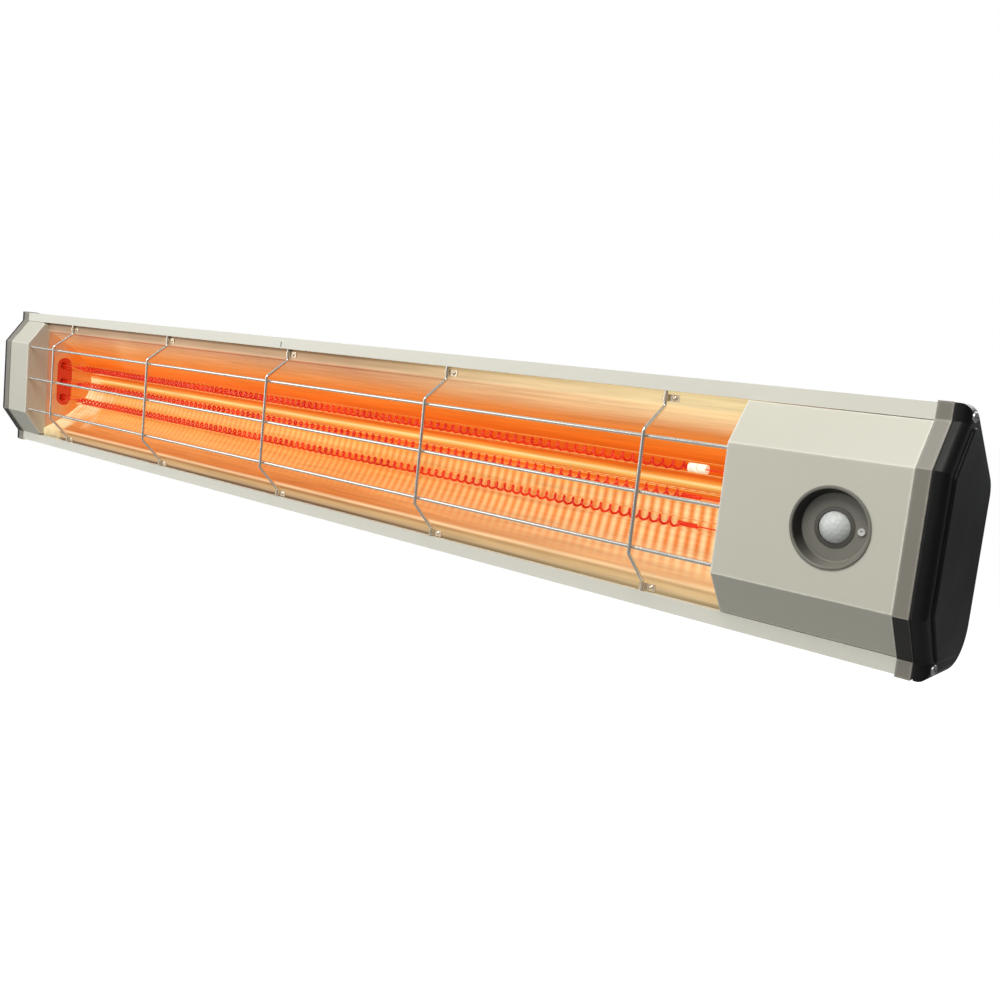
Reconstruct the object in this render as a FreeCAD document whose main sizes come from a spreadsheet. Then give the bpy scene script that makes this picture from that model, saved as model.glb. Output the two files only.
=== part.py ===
"""A wall-mounted infrared strip heater on two tilting brackets, as a parametric FreeCAD document.

The part's frame has its origin at the centre of the four wall bolts, on the wall, with X along the
heater, +Y into the wall and +Z up. The heater's own pieces are drawn with X from its middle, Y from
the front faces of its rails and Z from its underside, and seat() moves them into the part's frame.
"""

import FreeCAD, Part
import math
import os
import re
import Sketcher

Vector = FreeCAD.Vector
LEFT, RIGHT = -1, 1
NEAR = 0.01  # edges closer to a plane than this lie in it

# Driving dimensions in millimetres. Every piece is bound to these cells.
SIZES = {
    # play between a screw and the thread it bites, and between a shank and a plain hole
    "thread_play": 0.05,
    "hole_play": 0.2,
    # how far a cutting shape runs past the face where it leaves
    "past": 1,
    # housing and its end-on outline
    "between_rings": 1169,
    "body_height": 167,
    "rail_height": 10.5,
    "chamfer_height": 29,
    "front_depth": 21,
    "back_depth": 73,
    "top_flat": 17,
    "shoulder_height": 120,
    "shoulder_radius": 20,
    "heel_radius": 28,
    "shell_wall": 1.8,
    "lip_depth": 6,
    # upright slot in the top rail
    "slot_x": 8.7,
    "slot_width": 1.8,
    "slot_height": 5.2,
    "slot_drop": 7,
    "slot_corner": 0.8,
    # end-cover screws and the channels in the housing that they bite
    "port_y": 8,
    "port_drop": 6.8,
    "port_width": 6.4,
    "end_screw_radius": 1.9,
    "end_screw_length": 30,
    "end_head_radius": 3.4,
    "end_head_height": 1.8,
    "end_head_round": 1.2,
    "recess_reach": 2,
    "recess_half": 0.4,
    "recess_depth": 1,
    # rings, gaskets and end covers
    "ring_width": 10,
    "ring_proud": 1.2,
    "ring_edge_radius": 0.6,
    "frame_wall": 4,
    "gasket_width": 1.3,
    "gasket_proud": 0.1,
    "end_rim": 8,
    "end_proud": 0.8,
    "end_wall": 2.4,
    "end_edge_radius": 6,
    "dome_inset": 10,
    "dome_rise": 1.5,
    "dome_corner": 6,
    "dome_front_drop": 3,
    "dome_top_shift": 5,
    "dome_shoulder_drop": 4,
    # front covers
    "cover_wall": 2,
    "cover_gap": 0.5,
    "cover_edge_radius": 0.7,
    "control_length": 122,
    "control_return": 4,
    "left_length": 48,
    "left_return": 5.6,
    "corner_gap": 7,
    # trough
    "flange_y": 4.8,
    "reflector_wall": 0.8,
    "trough_depth": 66,
    "trough_half": 63,
    "flange_gap": 0.3,
    "reflector_end_x": 476,
    "end_plate_wall": 1,
    "end_plate_start": 0.2,
    "end_plate_behind": 1.2,
    "end_plate_beyond": 0.6,
    # quartz tubes
    "tube_y": 29,
    "tube_z": 82,
    "tube_pitch": 21,
    "tube_radius": 5,
    "tube_bore": 4,
    "tube_left": 556,
    "tube_right": 496,
    "tube_play": 0.3,
    "holder_depth": 13,
    "holder_half": 12,
    "holder_corner": 11.5,
    "cap_wall": 2,
    "cap_length": 17,
    "cap_grip": 5,
    "cap_play": 0.1,
    "coil_radius": 3.25,
    "coil_left": 487,
    "coil_right": 405,
    "coil_wall": 0.25,
    "closed_radius": 1.8,
    "closed_left": 13,
    "closed_right": 16,
    "lead_radius": 0.5,
    "lead_left": 22,
    "lead_right": 16,
    "bead_radius": 3.4,
    "bead_bore": 2,
    "bead_length": 6.8,
    "first_bead": 3.5,
    "second_bead": 11.4,
    # guard
    "wire_radius": 1.5,
    "long_wire_y": -17.2,
    "cross_wire_y": -20.25,
    "long_wire_pitch": 39.7,
    "cross_pitch": 216.5,
    "cross_middle": -36,
    "leg_y": 3.2,
    "leg_reach": 1.5,
    "low_knee": 6.5,
    "high_knee": 11,
    "low_front": 0.3,
    "high_front": 0.5,
    "wire_bend": 2.6,
    "wire_hole_play": 0.15,
    "wire_end_play": 0.3,
    "wire_grip": 9,
    "clip_wall": 0.8,
    "clip_width": 5,
    "clip_length": 14,
    "clip_tail": 3.5,
    "clip_play": 0.08,
    "low_clip": 3.4,
    "high_clip": 5,
    "rivet_x": 7,
    "rivet_ball": 2.6,
    "rivet_sink": 1.4,
    "rivet_radius": 1.2,
    "rivet_hole_radius": 1.25,
    "rivet_length": 2.4,
    # motion sensor
    "sensor_x": 539,
    "sensor_z": 84,
    "cup_radius": 26.2,
    "cup_depth": 8,
    "cup_floor": 1.6,
    "cup_rim": 1,
    "cup_rim_width": 1.9,
    "cup_taper": 4.6,
    "cup_hole_inset": 1.3,
    "cup_edge": 0.7,
    "cup_corner": 0.8,
    "cup_screw_x": 17.4,
    "cup_screw_radius": 1.2,
    "cup_screw_length": 6,
    "cup_head_radius": 2.3,
    "cup_head_height": 1.1,
    "cup_recess_radius": 1.1,
    "cup_recess_depth": 0.7,
    "post_spread": 17,
    "post_radius": 2.4,
    "post_length": 8.6,
    "lens_radius": 10.35,
    "lens_rise": 6.4,
    "lens_wall": 0.8,
    "lens_skirt": 2.4,
    "lens_base": 0.4,
    "lens_ring_width": 0.9,
    "lens_ring_flange": 2.7,
    "sensor_board_half": 20,
    "sensor_board_corner": 2,
    "sensor_board_gap": 10,
    "board_wall": 1.6,
    "can_radius": 4.6,
    "can_height": 5.5,
    # electrics in the control end
    "board_low_x": 518,
    "board_high_x": 578,
    "board_low_z": 58,
    "board_high_z": 112,
    "board_post_inset": 5,
    "board_post_radius": 3,
    "board_post_length": 13.6,
    "first_relay_x": 526,
    "relay_pitch": 26,
    "relay_length": 19,
    "relay_depth": 15,
    "relay_low_z": 78,
    "relay_high_z": 93,
    "terminal_low_x": 503,
    "terminal_low_y": 24,
    "terminal_high_y": 44,
    "terminal_top": 24,
    "terminal_pitch": 12,
    "terminal_radius": 2.6,
    "terminal_screw_y": 38,
    "terminal_screw_depth": 8,
    "terminal_entry_depth": 10,
    "terminal_entry_z": 12,
    "strip_reach": 5,
    "strip_inset": 2,
    "strip_wall": 1,
    "return_radius": 1.4,
    "return_bend": 6,
    "lead_behind": 52,
    "lead_over": 125,
    "lead_above": 45,
    "lead_entry": 33,
    "feed_radius": 1.1,
    "feed_bend": 4.5,
    # hanging
    "standoff": 58,
    "bracket_spacing": 800,
    "wall_hole_spacing": 64,
    "wall_hole_radius": 3.25,
    "pivot_y": -34,
    "pivot_radius": 4,
    "pivot_hole_radius": 4.06,
    "ear_radius": 12,
    "bracket_wall": 3,
    "wall_ear_x": 14,
    "arm_ear_x": 10.7,
    "bracket_half_width": 26,
    "bracket_half_height": 46,
    "bracket_corner": 5,
    "arm_half_width": 30,
    "arm_half_height": 18,
    "arm_corner": 4,
    "arm_screw_x": 22,
    "arm_screw_radius": 2.5,
    "arm_screw_length": 7.5,
    "arm_head_radius": 4.6,
    "arm_head_height": 2.8,
    "arm_socket": 4,
    "arm_socket_depth": 1.6,
    "pivot_head": 13,
    "pivot_head_height": 5.3,
    "pivot_nut_height": 6.5,
    "pivot_thread_end": 2,
    "washer_radius": 8,
    "washer_wall": 1.6,
    # cable gland
    "gland_x": 497,
    "gland_z": 70,
    "gland_bore": 4,
    "gland_thread": 8,
    "gland_barrel": 11,
    "gland_hexagon": 21,
    "gland_flange": 5,
    "gland_dome_radius": 9.6,
    "gland_dome": 15,
    "gland_dome_round": 3.5,
    "gland_nut_height": 5,
}

doc = FreeCAD.newDocument("strip_heater")
sheet = doc.addObject("Spreadsheet::Sheet", "Sizes")
for row, (alias, number) in enumerate(SIZES.items(), start=1):
    sheet.set(f"A{row}", alias)
    sheet.set(f"B{row}", str(number))
    sheet.setAlias(f"B{row}", alias)
doc.recompute()

nodes = []


# ---------------------------------------------------------------- tools of the document

def bound(text):
    """An expression in which each size's name points at its cell."""
    return re.sub(r"[a-z_]+", lambda word: f"Sizes.{word[0]}" if word[0] in SIZES else word[0], str(text))


def number(text):
    """What an expression on the sizes gives now."""
    result = sheet.evalExpression(bound(text))
    return float(getattr(result, "Value", result))


def bind(target, prop, text):
    """Tie a property to the sheet."""
    target.setExpression(prop, bound(text))


def new_body(label):
    """A PartDesign body that becomes the node of that name."""
    body = doc.addObject("PartDesign::Body", label)
    nodes.append(body)
    return body


def sketch(body, plane, offset="0"):
    """An empty sketch on one of the body's origin planes, moved along the plane's normal."""
    drawing = body.newObject("Sketcher::SketchObject", f"{body.Label}_{plane[:2].lower()}_sketch")
    support = next(item for item in body.Origin.OriginFeatures if item.Role == plane)
    drawing.AttachmentSupport = [(support, "")]
    drawing.MapMode = "FlatFace"
    bind(drawing, "AttachmentOffset.Base.z", offset)
    return drawing


def hold(drawing, kind, geometry, point, text):
    """Tie one coordinate of a sketch point to the sheet."""
    place = Sketcher.Constraint(kind, -1, 1, geometry, point, number(text))
    index = drawing.addConstraint(place)
    drawing.renameConstraint(index, f"{kind}_{geometry}_{point}")
    bind(drawing, f"Constraints.{kind}_{geometry}_{point}", text)


def hold_radius(drawing, geometry, text):
    """Tie the radius of a circle or arc to the sheet."""
    index = drawing.addConstraint(Sketcher.Constraint("Radius", geometry, number(text)))
    drawing.renameConstraint(index, f"radius_{geometry}")
    bind(drawing, f"Constraints.radius_{geometry}", text)


def loop(drawing, corners):
    """A closed outline. Each corner is (x, y) or (x, y, radius), as expressions."""
    points = [Vector(number(corner[0]), number(corner[1]), 0) for corner in corners]
    count = len(points)
    sides = []
    for index in range(count):
        side = Part.LineSegment(points[index], points[(index + 1) % count])
        sides.append(drawing.addGeometry(side, False))
    for index in range(count):
        following = sides[(index + 1) % count]
        drawing.addConstraint(Sketcher.Constraint("Coincident", sides[index], 2, following, 1))
        hold(drawing, "DistanceX", sides[index], 1, corners[index][0])
        hold(drawing, "DistanceY", sides[index], 1, corners[index][1])
    for index, corner in enumerate(corners):
        if len(corner) == 3:
            round_corner(drawing, sides[index - 1], sides[index], points, index, corner[2])


def round_corner(drawing, before, after, points, index, radius):
    """Replace the corner between two sides by a tangent arc."""
    corner = points[index]
    reach = number(radius) / 2
    towards_before = corner + (points[index - 1] - corner).normalize() * reach
    towards_after = corner + (points[(index + 1) % len(points)] - corner).normalize() * reach
    drawing.fillet(before, after, towards_before, towards_after, number(radius), True, True)
    arcs = [i for i, item in enumerate(drawing.Geometry) if item.TypeId == "Part::GeomArcOfCircle"]
    hold_radius(drawing, arcs[-1], radius)


def rectangle(drawing, low_x, high_x, low_y, high_y, radius=None):
    """A closed rectangle, with all four corners rounded if a radius is given."""
    ends = [(low_x, low_y), (high_x, low_y), (high_x, high_y), (low_x, high_y)]
    loop(drawing, [end if radius is None else (*end, radius) for end in ends])


def hexagon(drawing, x, y, across):
    """A regular hexagon, two of its sides level."""
    half = f"({across})/2"
    tip = f"{half}/cos(30)"
    step = f"{half}*tan(30)"
    loop(drawing, [
        (f"{x}-{tip}", y), (f"{x}-{step}", f"{y}-{half}"), (f"{x}+{step}", f"{y}-{half}"),
        (f"{x}+{tip}", y), (f"{x}+{step}", f"{y}+{half}"), (f"{x}-{step}", f"{y}+{half}"),
    ])


def circle(drawing, x, y, radius):
    """A full circle at (x, y)."""
    centre = Vector(number(x), number(y), 0)
    geometry = drawing.addGeometry(Part.Circle(centre, Vector(0, 0, 1), number(radius)), False)
    hold(drawing, "DistanceX", geometry, 3, x)
    hold(drawing, "DistanceY", geometry, 3, y)
    hold_radius(drawing, geometry, radius)


def pad(drawing, length, reverse=False, both=False):
    """Extrude a sketch along its plane's normal, against it, or half each way."""
    body = drawing.getParentGeoFeatureGroup()
    feature = body.newObject("PartDesign::Pad", f"{body.Label}_pad")
    feature.Profile = drawing
    feature.SideType = "Symmetric" if both else "One side"
    feature.Reversed = reverse
    bind(feature, "Length", length)
    return feature


def pocket(drawing, length, reverse=False, both=False):
    """Cut a sketch into its body, against its plane's normal unless reversed, and prove that it cuts."""
    body = drawing.getParentGeoFeatureGroup()
    doc.recompute()
    before = body.Shape.Volume
    feature = body.newObject("PartDesign::Pocket", f"{body.Label}_pocket")
    feature.Profile = drawing
    feature.SideType = "Symmetric" if both else "One side"
    feature.Reversed = reverse
    bind(feature, "Length", length)
    doc.recompute()
    if not body.Shape.Volume < before:
        raise RuntimeError(f"{feature.Name} cuts nothing")


def revolve(drawing, axis):
    """Turn a sketch right round one of its own axes."""
    body = drawing.getParentGeoFeatureGroup()
    feature = body.newObject("PartDesign::Revolution", f"{body.Label}_turned")
    feature.Profile = drawing
    feature.ReferenceAxis = (drawing, [axis])
    feature.Angle = 360


def fillet(body, radius, chosen):
    """Round the edges of the body that chosen(edge) picks."""
    doc.recompute()
    tip = body.Tip
    names = [f"Edge{i}" for i, edge in enumerate(tip.Shape.Edges, start=1) if chosen(edge)]
    feature = body.newObject("PartDesign::Fillet", f"{body.Label}_fillet")
    feature.Base = (tip, names)
    bind(feature, "Radius", radius)
    doc.recompute()


def in_plane_x(place):
    """A chooser of edges that lie in the plane X = place."""
    def chosen(edge):
        return abs(edge.BoundBox.XMin - place) < NEAR and abs(edge.BoundBox.XMax - place) < NEAR
    return chosen


def group(label, pieces):
    """Separate solids of one kind that share a node."""
    compound = doc.addObject("Part::Compound", label)
    compound.Links = pieces
    nodes.append(compound)
    return compound


def feature_of(label, shape):
    """A node whose shape comes from Part's own functions."""
    item = doc.addObject("Part::Feature", label)
    item.Shape = shape
    nodes.append(item)
    return item


def loose(body):
    """Take a body off the list of nodes, because a group holds it."""
    nodes.remove(body)
    return body


def seat(item, x="0"):
    """Move a piece from the heater's frame to the part's."""
    bind(item, "Placement.Base.x", x)
    bind(item, "Placement.Base.y", "-(standoff + back_depth)")
    bind(item, "Placement.Base.z", "-body_height/2")


# ---------------------------------------------------------------- casing

FRONT_TURN = "tan(atan(front_depth/chamfer_height)/2)"
TOP_TURN = "tan(atan((body_height-shoulder_height)/(back_depth-top_flat))/2)"
BACK_TURN = "tan(45 deg - atan((body_height-shoulder_height)/(back_depth-top_flat))/2)"


def end_outline(grow):
    """The heater seen end on, grown by an amount: rails, six-sided front, sloped shoulder and heel."""
    face = f"-({grow})"
    flat = f"-front_depth-({grow})"
    low = f"rail_height-({grow})*{FRONT_TURN}"
    high = f"body_height-rail_height+({grow})*{FRONT_TURN}"
    back = f"back_depth+({grow})"
    return [
        (face, f"-({grow})"),
        (face, low),
        (flat, f"{low}+chamfer_height"),
        (flat, f"{high}-chamfer_height"),
        (face, high),
        (face, f"body_height+({grow})"),
        (f"top_flat+({grow})*{TOP_TURN}", f"body_height+({grow})", f"shoulder_radius+({grow})"),
        (back, f"shoulder_height+({grow})*{BACK_TURN}", f"shoulder_radius+({grow})"),
        (back, f"-({grow})", f"heel_radius+({grow})"),
    ]


def make_housing():
    """The extruded channel: two front rails with inward lips, sloped shoulder, back and floor."""
    body = new_body("housing")
    wall = "shell_wall"
    shoulder = ("top_flat", "body_height", "shoulder_radius")
    inner_shoulder = (f"top_flat-{wall}*{TOP_TURN}", f"body_height-{wall}", f"shoulder_radius-{wall}")
    inner_back = f"back_depth-{wall}"
    upper = "body_height-rail_height"
    section = sketch(body, "YZ_Plane")
    loop(section, [
        ("0", "0"), ("0", "rail_height"), ("lip_depth", "rail_height"),
        ("lip_depth", f"rail_height-{wall}"), (wall, f"rail_height-{wall}"), (wall, wall),
        (inner_back, wall, f"heel_radius-{wall}"),
        (inner_back, f"shoulder_height-{wall}*{BACK_TURN}", f"shoulder_radius-{wall}"),
        inner_shoulder, (wall, f"body_height-{wall}"), (wall, f"{upper}+{wall}"),
        ("lip_depth", f"{upper}+{wall}"), ("lip_depth", upper), ("0", upper), ("0", "body_height"),
        shoulder, ("back_depth", "shoulder_height", "shoulder_radius"),
        ("back_depth", "0", "heel_radius"),
    ])
    pad(section, "between_rings", both=True)
    add_screw_ports(body)
    cut_wire_holes(body)
    cut_rail_slot(body)
    cut_back_holes(body)
    seat(body)


def add_screw_ports(body):
    """Full-length channels that take the end-cover screws, under the top and on the floor."""
    ports = sketch(body, "YZ_Plane")
    spans = [("shell_wall/2", "port_drop+port_width/2"),
             ("body_height-port_drop-port_width/2", "body_height-shell_wall/2")]
    for low, high in spans:
        rectangle(ports, "port_y-port_width/2", "port_y+port_width/2", low, high)
    for height in ("port_drop", "body_height-port_drop"):
        circle(ports, "port_y", height, "end_screw_radius+thread_play")
    pad(ports, "between_rings", both=True)


def cross_places():
    """Where the five cross wires stand along the heater."""
    return [f"cross_middle+({step})*cross_pitch" for step in range(-2, 3)]


def cut_wire_holes(body):
    """Holes in the two lips for the ends of the guard's cross wires."""
    for lip in ("rail_height-shell_wall-past/2", "body_height-rail_height-past/2"):
        holes = sketch(body, "XY_Plane", lip)
        for place in cross_places():
            circle(holes, place, "leg_y", "wire_radius+wire_hole_play")
        pocket(holes, "shell_wall+past", reverse=True)


def cut_rail_slot(body):
    """The small upright slot in the top rail, beside the middle cross wire."""
    slot = sketch(body, "XZ_Plane")
    middle = "body_height-slot_drop"
    rectangle(slot, "cross_middle-slot_x-slot_width/2", "cross_middle-slot_x+slot_width/2",
              f"{middle}-slot_height/2", f"{middle}+slot_height/2", "slot_corner")
    pocket(slot, "3*shell_wall", both=True)


def cut_back_holes(body):
    """Holes in the back for the arm screws and the cable gland."""
    holes = sketch(body, "XZ_Plane", "-(back_depth-2*shell_wall)")
    for side in (LEFT, RIGHT):
        for step in (-1, 1):
            place = f"{side}*bracket_spacing/2+({step})*arm_screw_x"
            circle(holes, place, "body_height/2", "arm_screw_radius+thread_play")
    circle(holes, "gland_x", "gland_z", "gland_thread+hole_play")
    pocket(holes, "3*shell_wall")


def sleeve(label, side, start, length, outer, inner):
    """A frame that follows the end-on outline, from start outwards on one side."""
    body = new_body(label)
    section = sketch(body, "YZ_Plane", f"{side}*({start})")
    loop(section, end_outline(outer))
    loop(section, end_outline(inner))
    pad(section, length, reverse=side == LEFT)
    seat(body)
    return body


def make_ring(side, word):
    """The dark grey trim ring that covers the ends of the housing and the front covers."""
    ring = sleeve(f"trim_ring_{word}", side, "between_rings/2", "ring_width", "ring_proud", "-frame_wall")
    outer_x = side * number("between_rings/2+ring_width")
    inner_x = side * number("between_rings/2")
    far = in_plane_x(outer_x)
    near = in_plane_x(inner_x)
    rim = number("front_depth+ring_proud")

    def outside(edge):
        box = edge.BoundBox
        return (far(edge) or near(edge)) and (
            box.YMin < -rim + NEAR or box.ZMax > number("body_height") or box.ZMin < 0
            or box.YMax > number("back_depth") or on_front_slope(edge))

    fillet(ring, "ring_edge_radius", outside)


def on_front_slope(edge):
    """Whether an edge is one of the ring's outer sloped edges."""
    middle = edge.BoundBox.Center
    gauge = number("(front_depth+ring_proud)/2")
    return edge.Length > number("chamfer_height") and middle.y < -gauge


def make_gasket(side, word):
    """The rubber gasket in the groove between the ring and the end cover."""
    start = "between_rings/2+ring_width"
    sleeve(f"end_gasket_{word}", side, start, "gasket_width", "gasket_proud", "-frame_wall")


def panel_outline():
    """The raised panel of an end cover: six soft corners inside the end-on outline."""
    front = "dome_inset-front_depth"
    back = "back_depth-dome_inset"
    return [
        ("dome_inset", "dome_inset", "dome_corner"),
        (front, "rail_height+chamfer_height+dome_front_drop", "dome_corner"),
        (front, "body_height-rail_height-chamfer_height-dome_front_drop", "dome_corner"),
        ("top_flat-dome_top_shift", "body_height-dome_inset", "dome_corner"),
        (back, "shoulder_height-dome_shoulder_drop", "shoulder_radius-dome_inset"),
        (back, "dome_inset", "heel_radius-dome_inset"),
    ]


def make_end_cover(side, word):
    """The black moulded end cover: a shallow tub with a raised panel."""
    start = "between_rings/2+ring_width+gasket_width"
    body = new_body(f"end_cover_{word}")
    rim = sketch(body, "YZ_Plane", f"{side}*({start})")
    loop(rim, end_outline("end_proud"))
    pad(rim, "end_rim", reverse=side == LEFT)
    face = side * number(f"{start}+end_rim")
    fillet(body, "end_edge_radius", in_plane_x(face))
    panel = sketch(body, "YZ_Plane", f"{side}*({start}+end_rim)")
    loop(panel, panel_outline())
    pad(panel, "dome_rise", reverse=side == LEFT)
    fillet(body, "dome_rise*0.9", in_plane_x(side * number(f"{start}+end_rim+dome_rise")))
    hollow = sketch(body, "YZ_Plane", f"{side}*({start})")
    loop(hollow, end_outline("-frame_wall"))
    pocket(hollow, "end_rim-end_wall", reverse=side == RIGHT)
    holes = sketch(body, "YZ_Plane", f"{side}*({start})")
    for height in ("port_drop", "body_height-port_drop"):
        circle(holes, "port_y", height, "end_screw_radius+hole_play")
    pocket(holes, "end_rim+past", reverse=side == RIGHT)
    seat(body)


def make_end_screws():
    """Four pan-head screws through the end covers into the housing's channels."""
    screws = []
    face = "between_rings/2+ring_width+gasket_width+end_rim"
    for side in (LEFT, RIGHT):
        for height in ("port_drop", "body_height-port_drop"):
            body = loose(new_body("end_cover_screw"))
            head = sketch(body, "YZ_Plane", f"{side}*({face})")
            circle(head, "port_y", height, "end_head_radius")
            pad(head, "end_head_height", reverse=side == LEFT)
            fillet(body, "end_head_round", in_plane_x(side * number(f"{face}+end_head_height")))
            shank = sketch(body, "YZ_Plane", f"{side}*({face})")
            circle(shank, "port_y", height, "end_screw_radius")
            pad(shank, "end_screw_length", reverse=side == RIGHT)
            for across, up in (("recess_reach", "recess_half"), ("recess_half", "recess_reach")):
                cross = sketch(body, "YZ_Plane", f"{side}*({face}+end_head_height)")
                rectangle(cross, f"port_y-{across}", f"port_y+{across}", f"{height}-{up}", f"{height}+{up}")
                pocket(cross, "recess_depth", reverse=side == LEFT)
            screws.append(body)
    seat(group("end_cover_screws", screws))


def cover_outline(grow, back):
    """The six-sided front between the rails, closed behind at back."""
    low = f"rail_height+cover_gap-({grow})"
    high = f"body_height-rail_height-cover_gap+({grow})"
    knee = f"-({grow})*tan(45 deg - atan(front_depth/chamfer_height)/2)"
    flat = f"-front_depth-({grow})"
    return [
        (back, low), (knee, low),
        (flat, f"rail_height+chamfer_height-({grow})*{FRONT_TURN}"),
        (flat, f"body_height-rail_height-chamfer_height+({grow})*{FRONT_TURN}"),
        (knee, high), (back, high),
    ]


def make_cover(label, side, length, depth):
    """A front cover at one end: six-sided tray with a wall towards the open trough."""
    body = new_body(label)
    wall_x = f"{side}*(between_rings/2-{length})"
    outside = sketch(body, "YZ_Plane", wall_x)
    loop(outside, cover_outline("0", depth))
    pad(outside, length, reverse=side == LEFT)
    fillet(body, "cover_edge_radius", in_plane_x(number(wall_x)))
    inside = sketch(body, "YZ_Plane", f"{wall_x}+({side})*cover_wall")
    loop(inside, cover_outline("-cover_wall", "lip_depth*2"))
    pocket(inside, length, reverse=side == RIGHT)
    holes = sketch(body, "YZ_Plane", wall_x)
    for step in (-1, 0, 1):
        circle(holes, "long_wire_y", f"sensor_z+({step})*long_wire_pitch", "wire_radius+wire_end_play")
    pocket(holes, "cover_wall+past", reverse=side == RIGHT)
    return body


def make_covers():
    """The short cover at the left and the control cover, with its sensor hole, at the right."""
    left = make_cover("left_cover", LEFT, "left_length", "left_return")
    corner = "-(between_rings/2-left_length)"
    gaps = sketch(left, "XZ_Plane")
    for edge, inward in (("rail_height+cover_gap", 1), ("body_height-rail_height-cover_gap", -1)):
        loop(gaps, [
            (f"{corner}+past", f"{edge}-({inward})*past"),
            (f"{corner}+past", f"{edge}+({inward})*corner_gap/2"),
            (f"{corner}-corner_gap", f"{edge}-({inward})*past"),
        ])
    pocket(gaps, "2*lip_depth", both=True)
    seat(left)
    control = make_cover("control_cover", RIGHT, "control_length", "control_return")
    hole = sketch(control, "XZ_Plane")
    circle(hole, "sensor_x", "sensor_z", "cup_radius-cup_hole_inset")
    pocket(hole, "4*front_depth", both=True)
    seat(control)


# ---------------------------------------------------------------- trough and tubes

def parabola_face(front, apex, half):
    """A flat region in the YZ plane behind the line Y = front, bounded by a parabola to its apex."""
    middle = number("body_height/2")
    low = Vector(0, front, middle - half)
    high = Vector(0, front, middle + half)
    curve = Part.BezierCurve()
    curve.setPoles([low, Vector(0, 2 * apex - front, middle), high])
    return Part.Face(Part.Wire([curve.toShape(), Part.LineSegment(high, low).toShape()]))


def make_reflector():
    """The polished trough, a parabola with a flat flange along each side that the guard is fixed to."""
    front = number("flange_y")
    wall = number("reflector_wall")
    apex = number("trough_depth")
    half = number("trough_half")
    start = number("between_rings/2-left_length")
    length = start + number("reflector_end_x")
    trough = parabola_face(front, apex + wall, half + wall).cut(parabola_face(front, apex, half))
    shape = trough.extrude(Vector(length, 0, 0))
    reach = number("body_height/2-rail_height-flange_gap")
    middle = number("body_height/2")
    for side in (-1, 1):
        width = reach - half
        low = middle + side * half if side > 0 else middle - reach
        shape = shape.fuse(Part.makeBox(length, wall, width, Vector(0, front, low)))
    bore = number("rivet_hole_radius")
    margin = number("past")
    holes = [Part.makeCylinder(bore, wall + 2 * margin, Vector(x + start, front - margin, z), Vector(0, 1, 0))
             for x, z in rivet_places()]
    shape = shape.cut(Part.makeCompound(holes)).removeSplitter()
    reflector = feature_of("reflector", shape)
    seat(reflector, "-(between_rings/2-left_length)")


def tube_heights():
    """The heights of the bottom, middle and top tubes."""
    return {word: f"tube_z+({step})*tube_pitch" for word, step in
            (("bottom", -1), ("middle", 0), ("top", 1))}


def make_end_plate(side, word):
    """The plate that closes one end of the trough, with a long hole for the three tubes."""
    wall = number("end_plate_wall")
    front = number("left_return+end_plate_start")
    apex = number("trough_depth+reflector_wall+end_plate_behind")
    half = number("trough_half+end_plate_beyond")
    plate = parabola_face(front, apex, half).extrude(Vector(wall, 0, 0))
    y = number("tube_y")
    low = number("tube_z-tube_pitch")
    high = number("tube_z+tube_pitch")
    radius = number("tube_radius*2")
    hole = Part.makeBox(3 * wall, 2 * radius, high - low, Vector(-wall, y - radius, low))
    for z in (low, high):
        hole = hole.fuse(Part.makeCylinder(radius, 3 * wall, Vector(-wall, y, z), Vector(1, 0, 0)))
    item = feature_of(f"reflector_end_{word}", plate.cut(hole).removeSplitter())
    if side == LEFT:
        seat(item, "-(between_rings/2-left_length)-end_plate_wall")
    else:
        seat(item, "reflector_end_x")


def make_holder(side, word):
    """The ceramic block behind an end plate that the tubes pass through."""
    body = new_body(f"tube_holder_{word}")
    if side == LEFT:
        start = "-(between_rings/2-left_length+end_plate_wall)"
    else:
        start = "reflector_end_x+end_plate_wall"
    block = sketch(body, "YZ_Plane", start)
    rectangle(block, "tube_y-holder_half", "tube_y+holder_half", "tube_z-tube_pitch-holder_half",
              "tube_z+tube_pitch+holder_half", "holder_corner")
    for height in tube_heights().values():
        circle(block, "tube_y", height, "tube_radius+tube_play")
    pad(block, "holder_depth", reverse=side == LEFT)
    seat(body)


def make_tube(word, height):
    """A clear quartz tube, open at both ends."""
    body = new_body(f"quartz_tube_{word}")
    section = sketch(body, "YZ_Plane", "-tube_left")
    circle(section, "tube_y", height, "tube_radius")
    circle(section, "tube_y", height, "tube_bore")
    pad(section, "tube_left+tube_right")
    seat(body)


def make_coil(word, height):
    """The outer shape of a heating coil: a thin sleeve, close-wound ends and straight leads."""
    body = new_body(f"heating_coil_{word}")
    section = sketch(body, "XY_Plane")
    left, right = "-coil_left", "coil_right"
    start, end = "-(tube_left+lead_left)", "tube_right+lead_right"
    loop(section, [
        (start, "0"), (start, "lead_radius"), (f"{left}-closed_left", "lead_radius"),
        (f"{left}-closed_left", "closed_radius"), (left, "closed_radius"), (left, "coil_radius"),
        (right, "coil_radius"), (right, "closed_radius"), (f"{right}+closed_right", "closed_radius"),
        (f"{right}+closed_right", "lead_radius"), (end, "lead_radius"), (end, "0"),
        (f"{right}-coil_wall", "0"), (f"{right}-coil_wall", "coil_radius-coil_wall"),
        (f"{left}+coil_wall", "coil_radius-coil_wall"), (f"{left}+coil_wall", "0"),
    ])
    revolve(section, "H_Axis")
    seat(body)
    bind(body, "Placement.Base.y", "tube_y-(standoff + back_depth)")
    bind(body, "Placement.Base.z", f"{height}-body_height/2")


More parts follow.
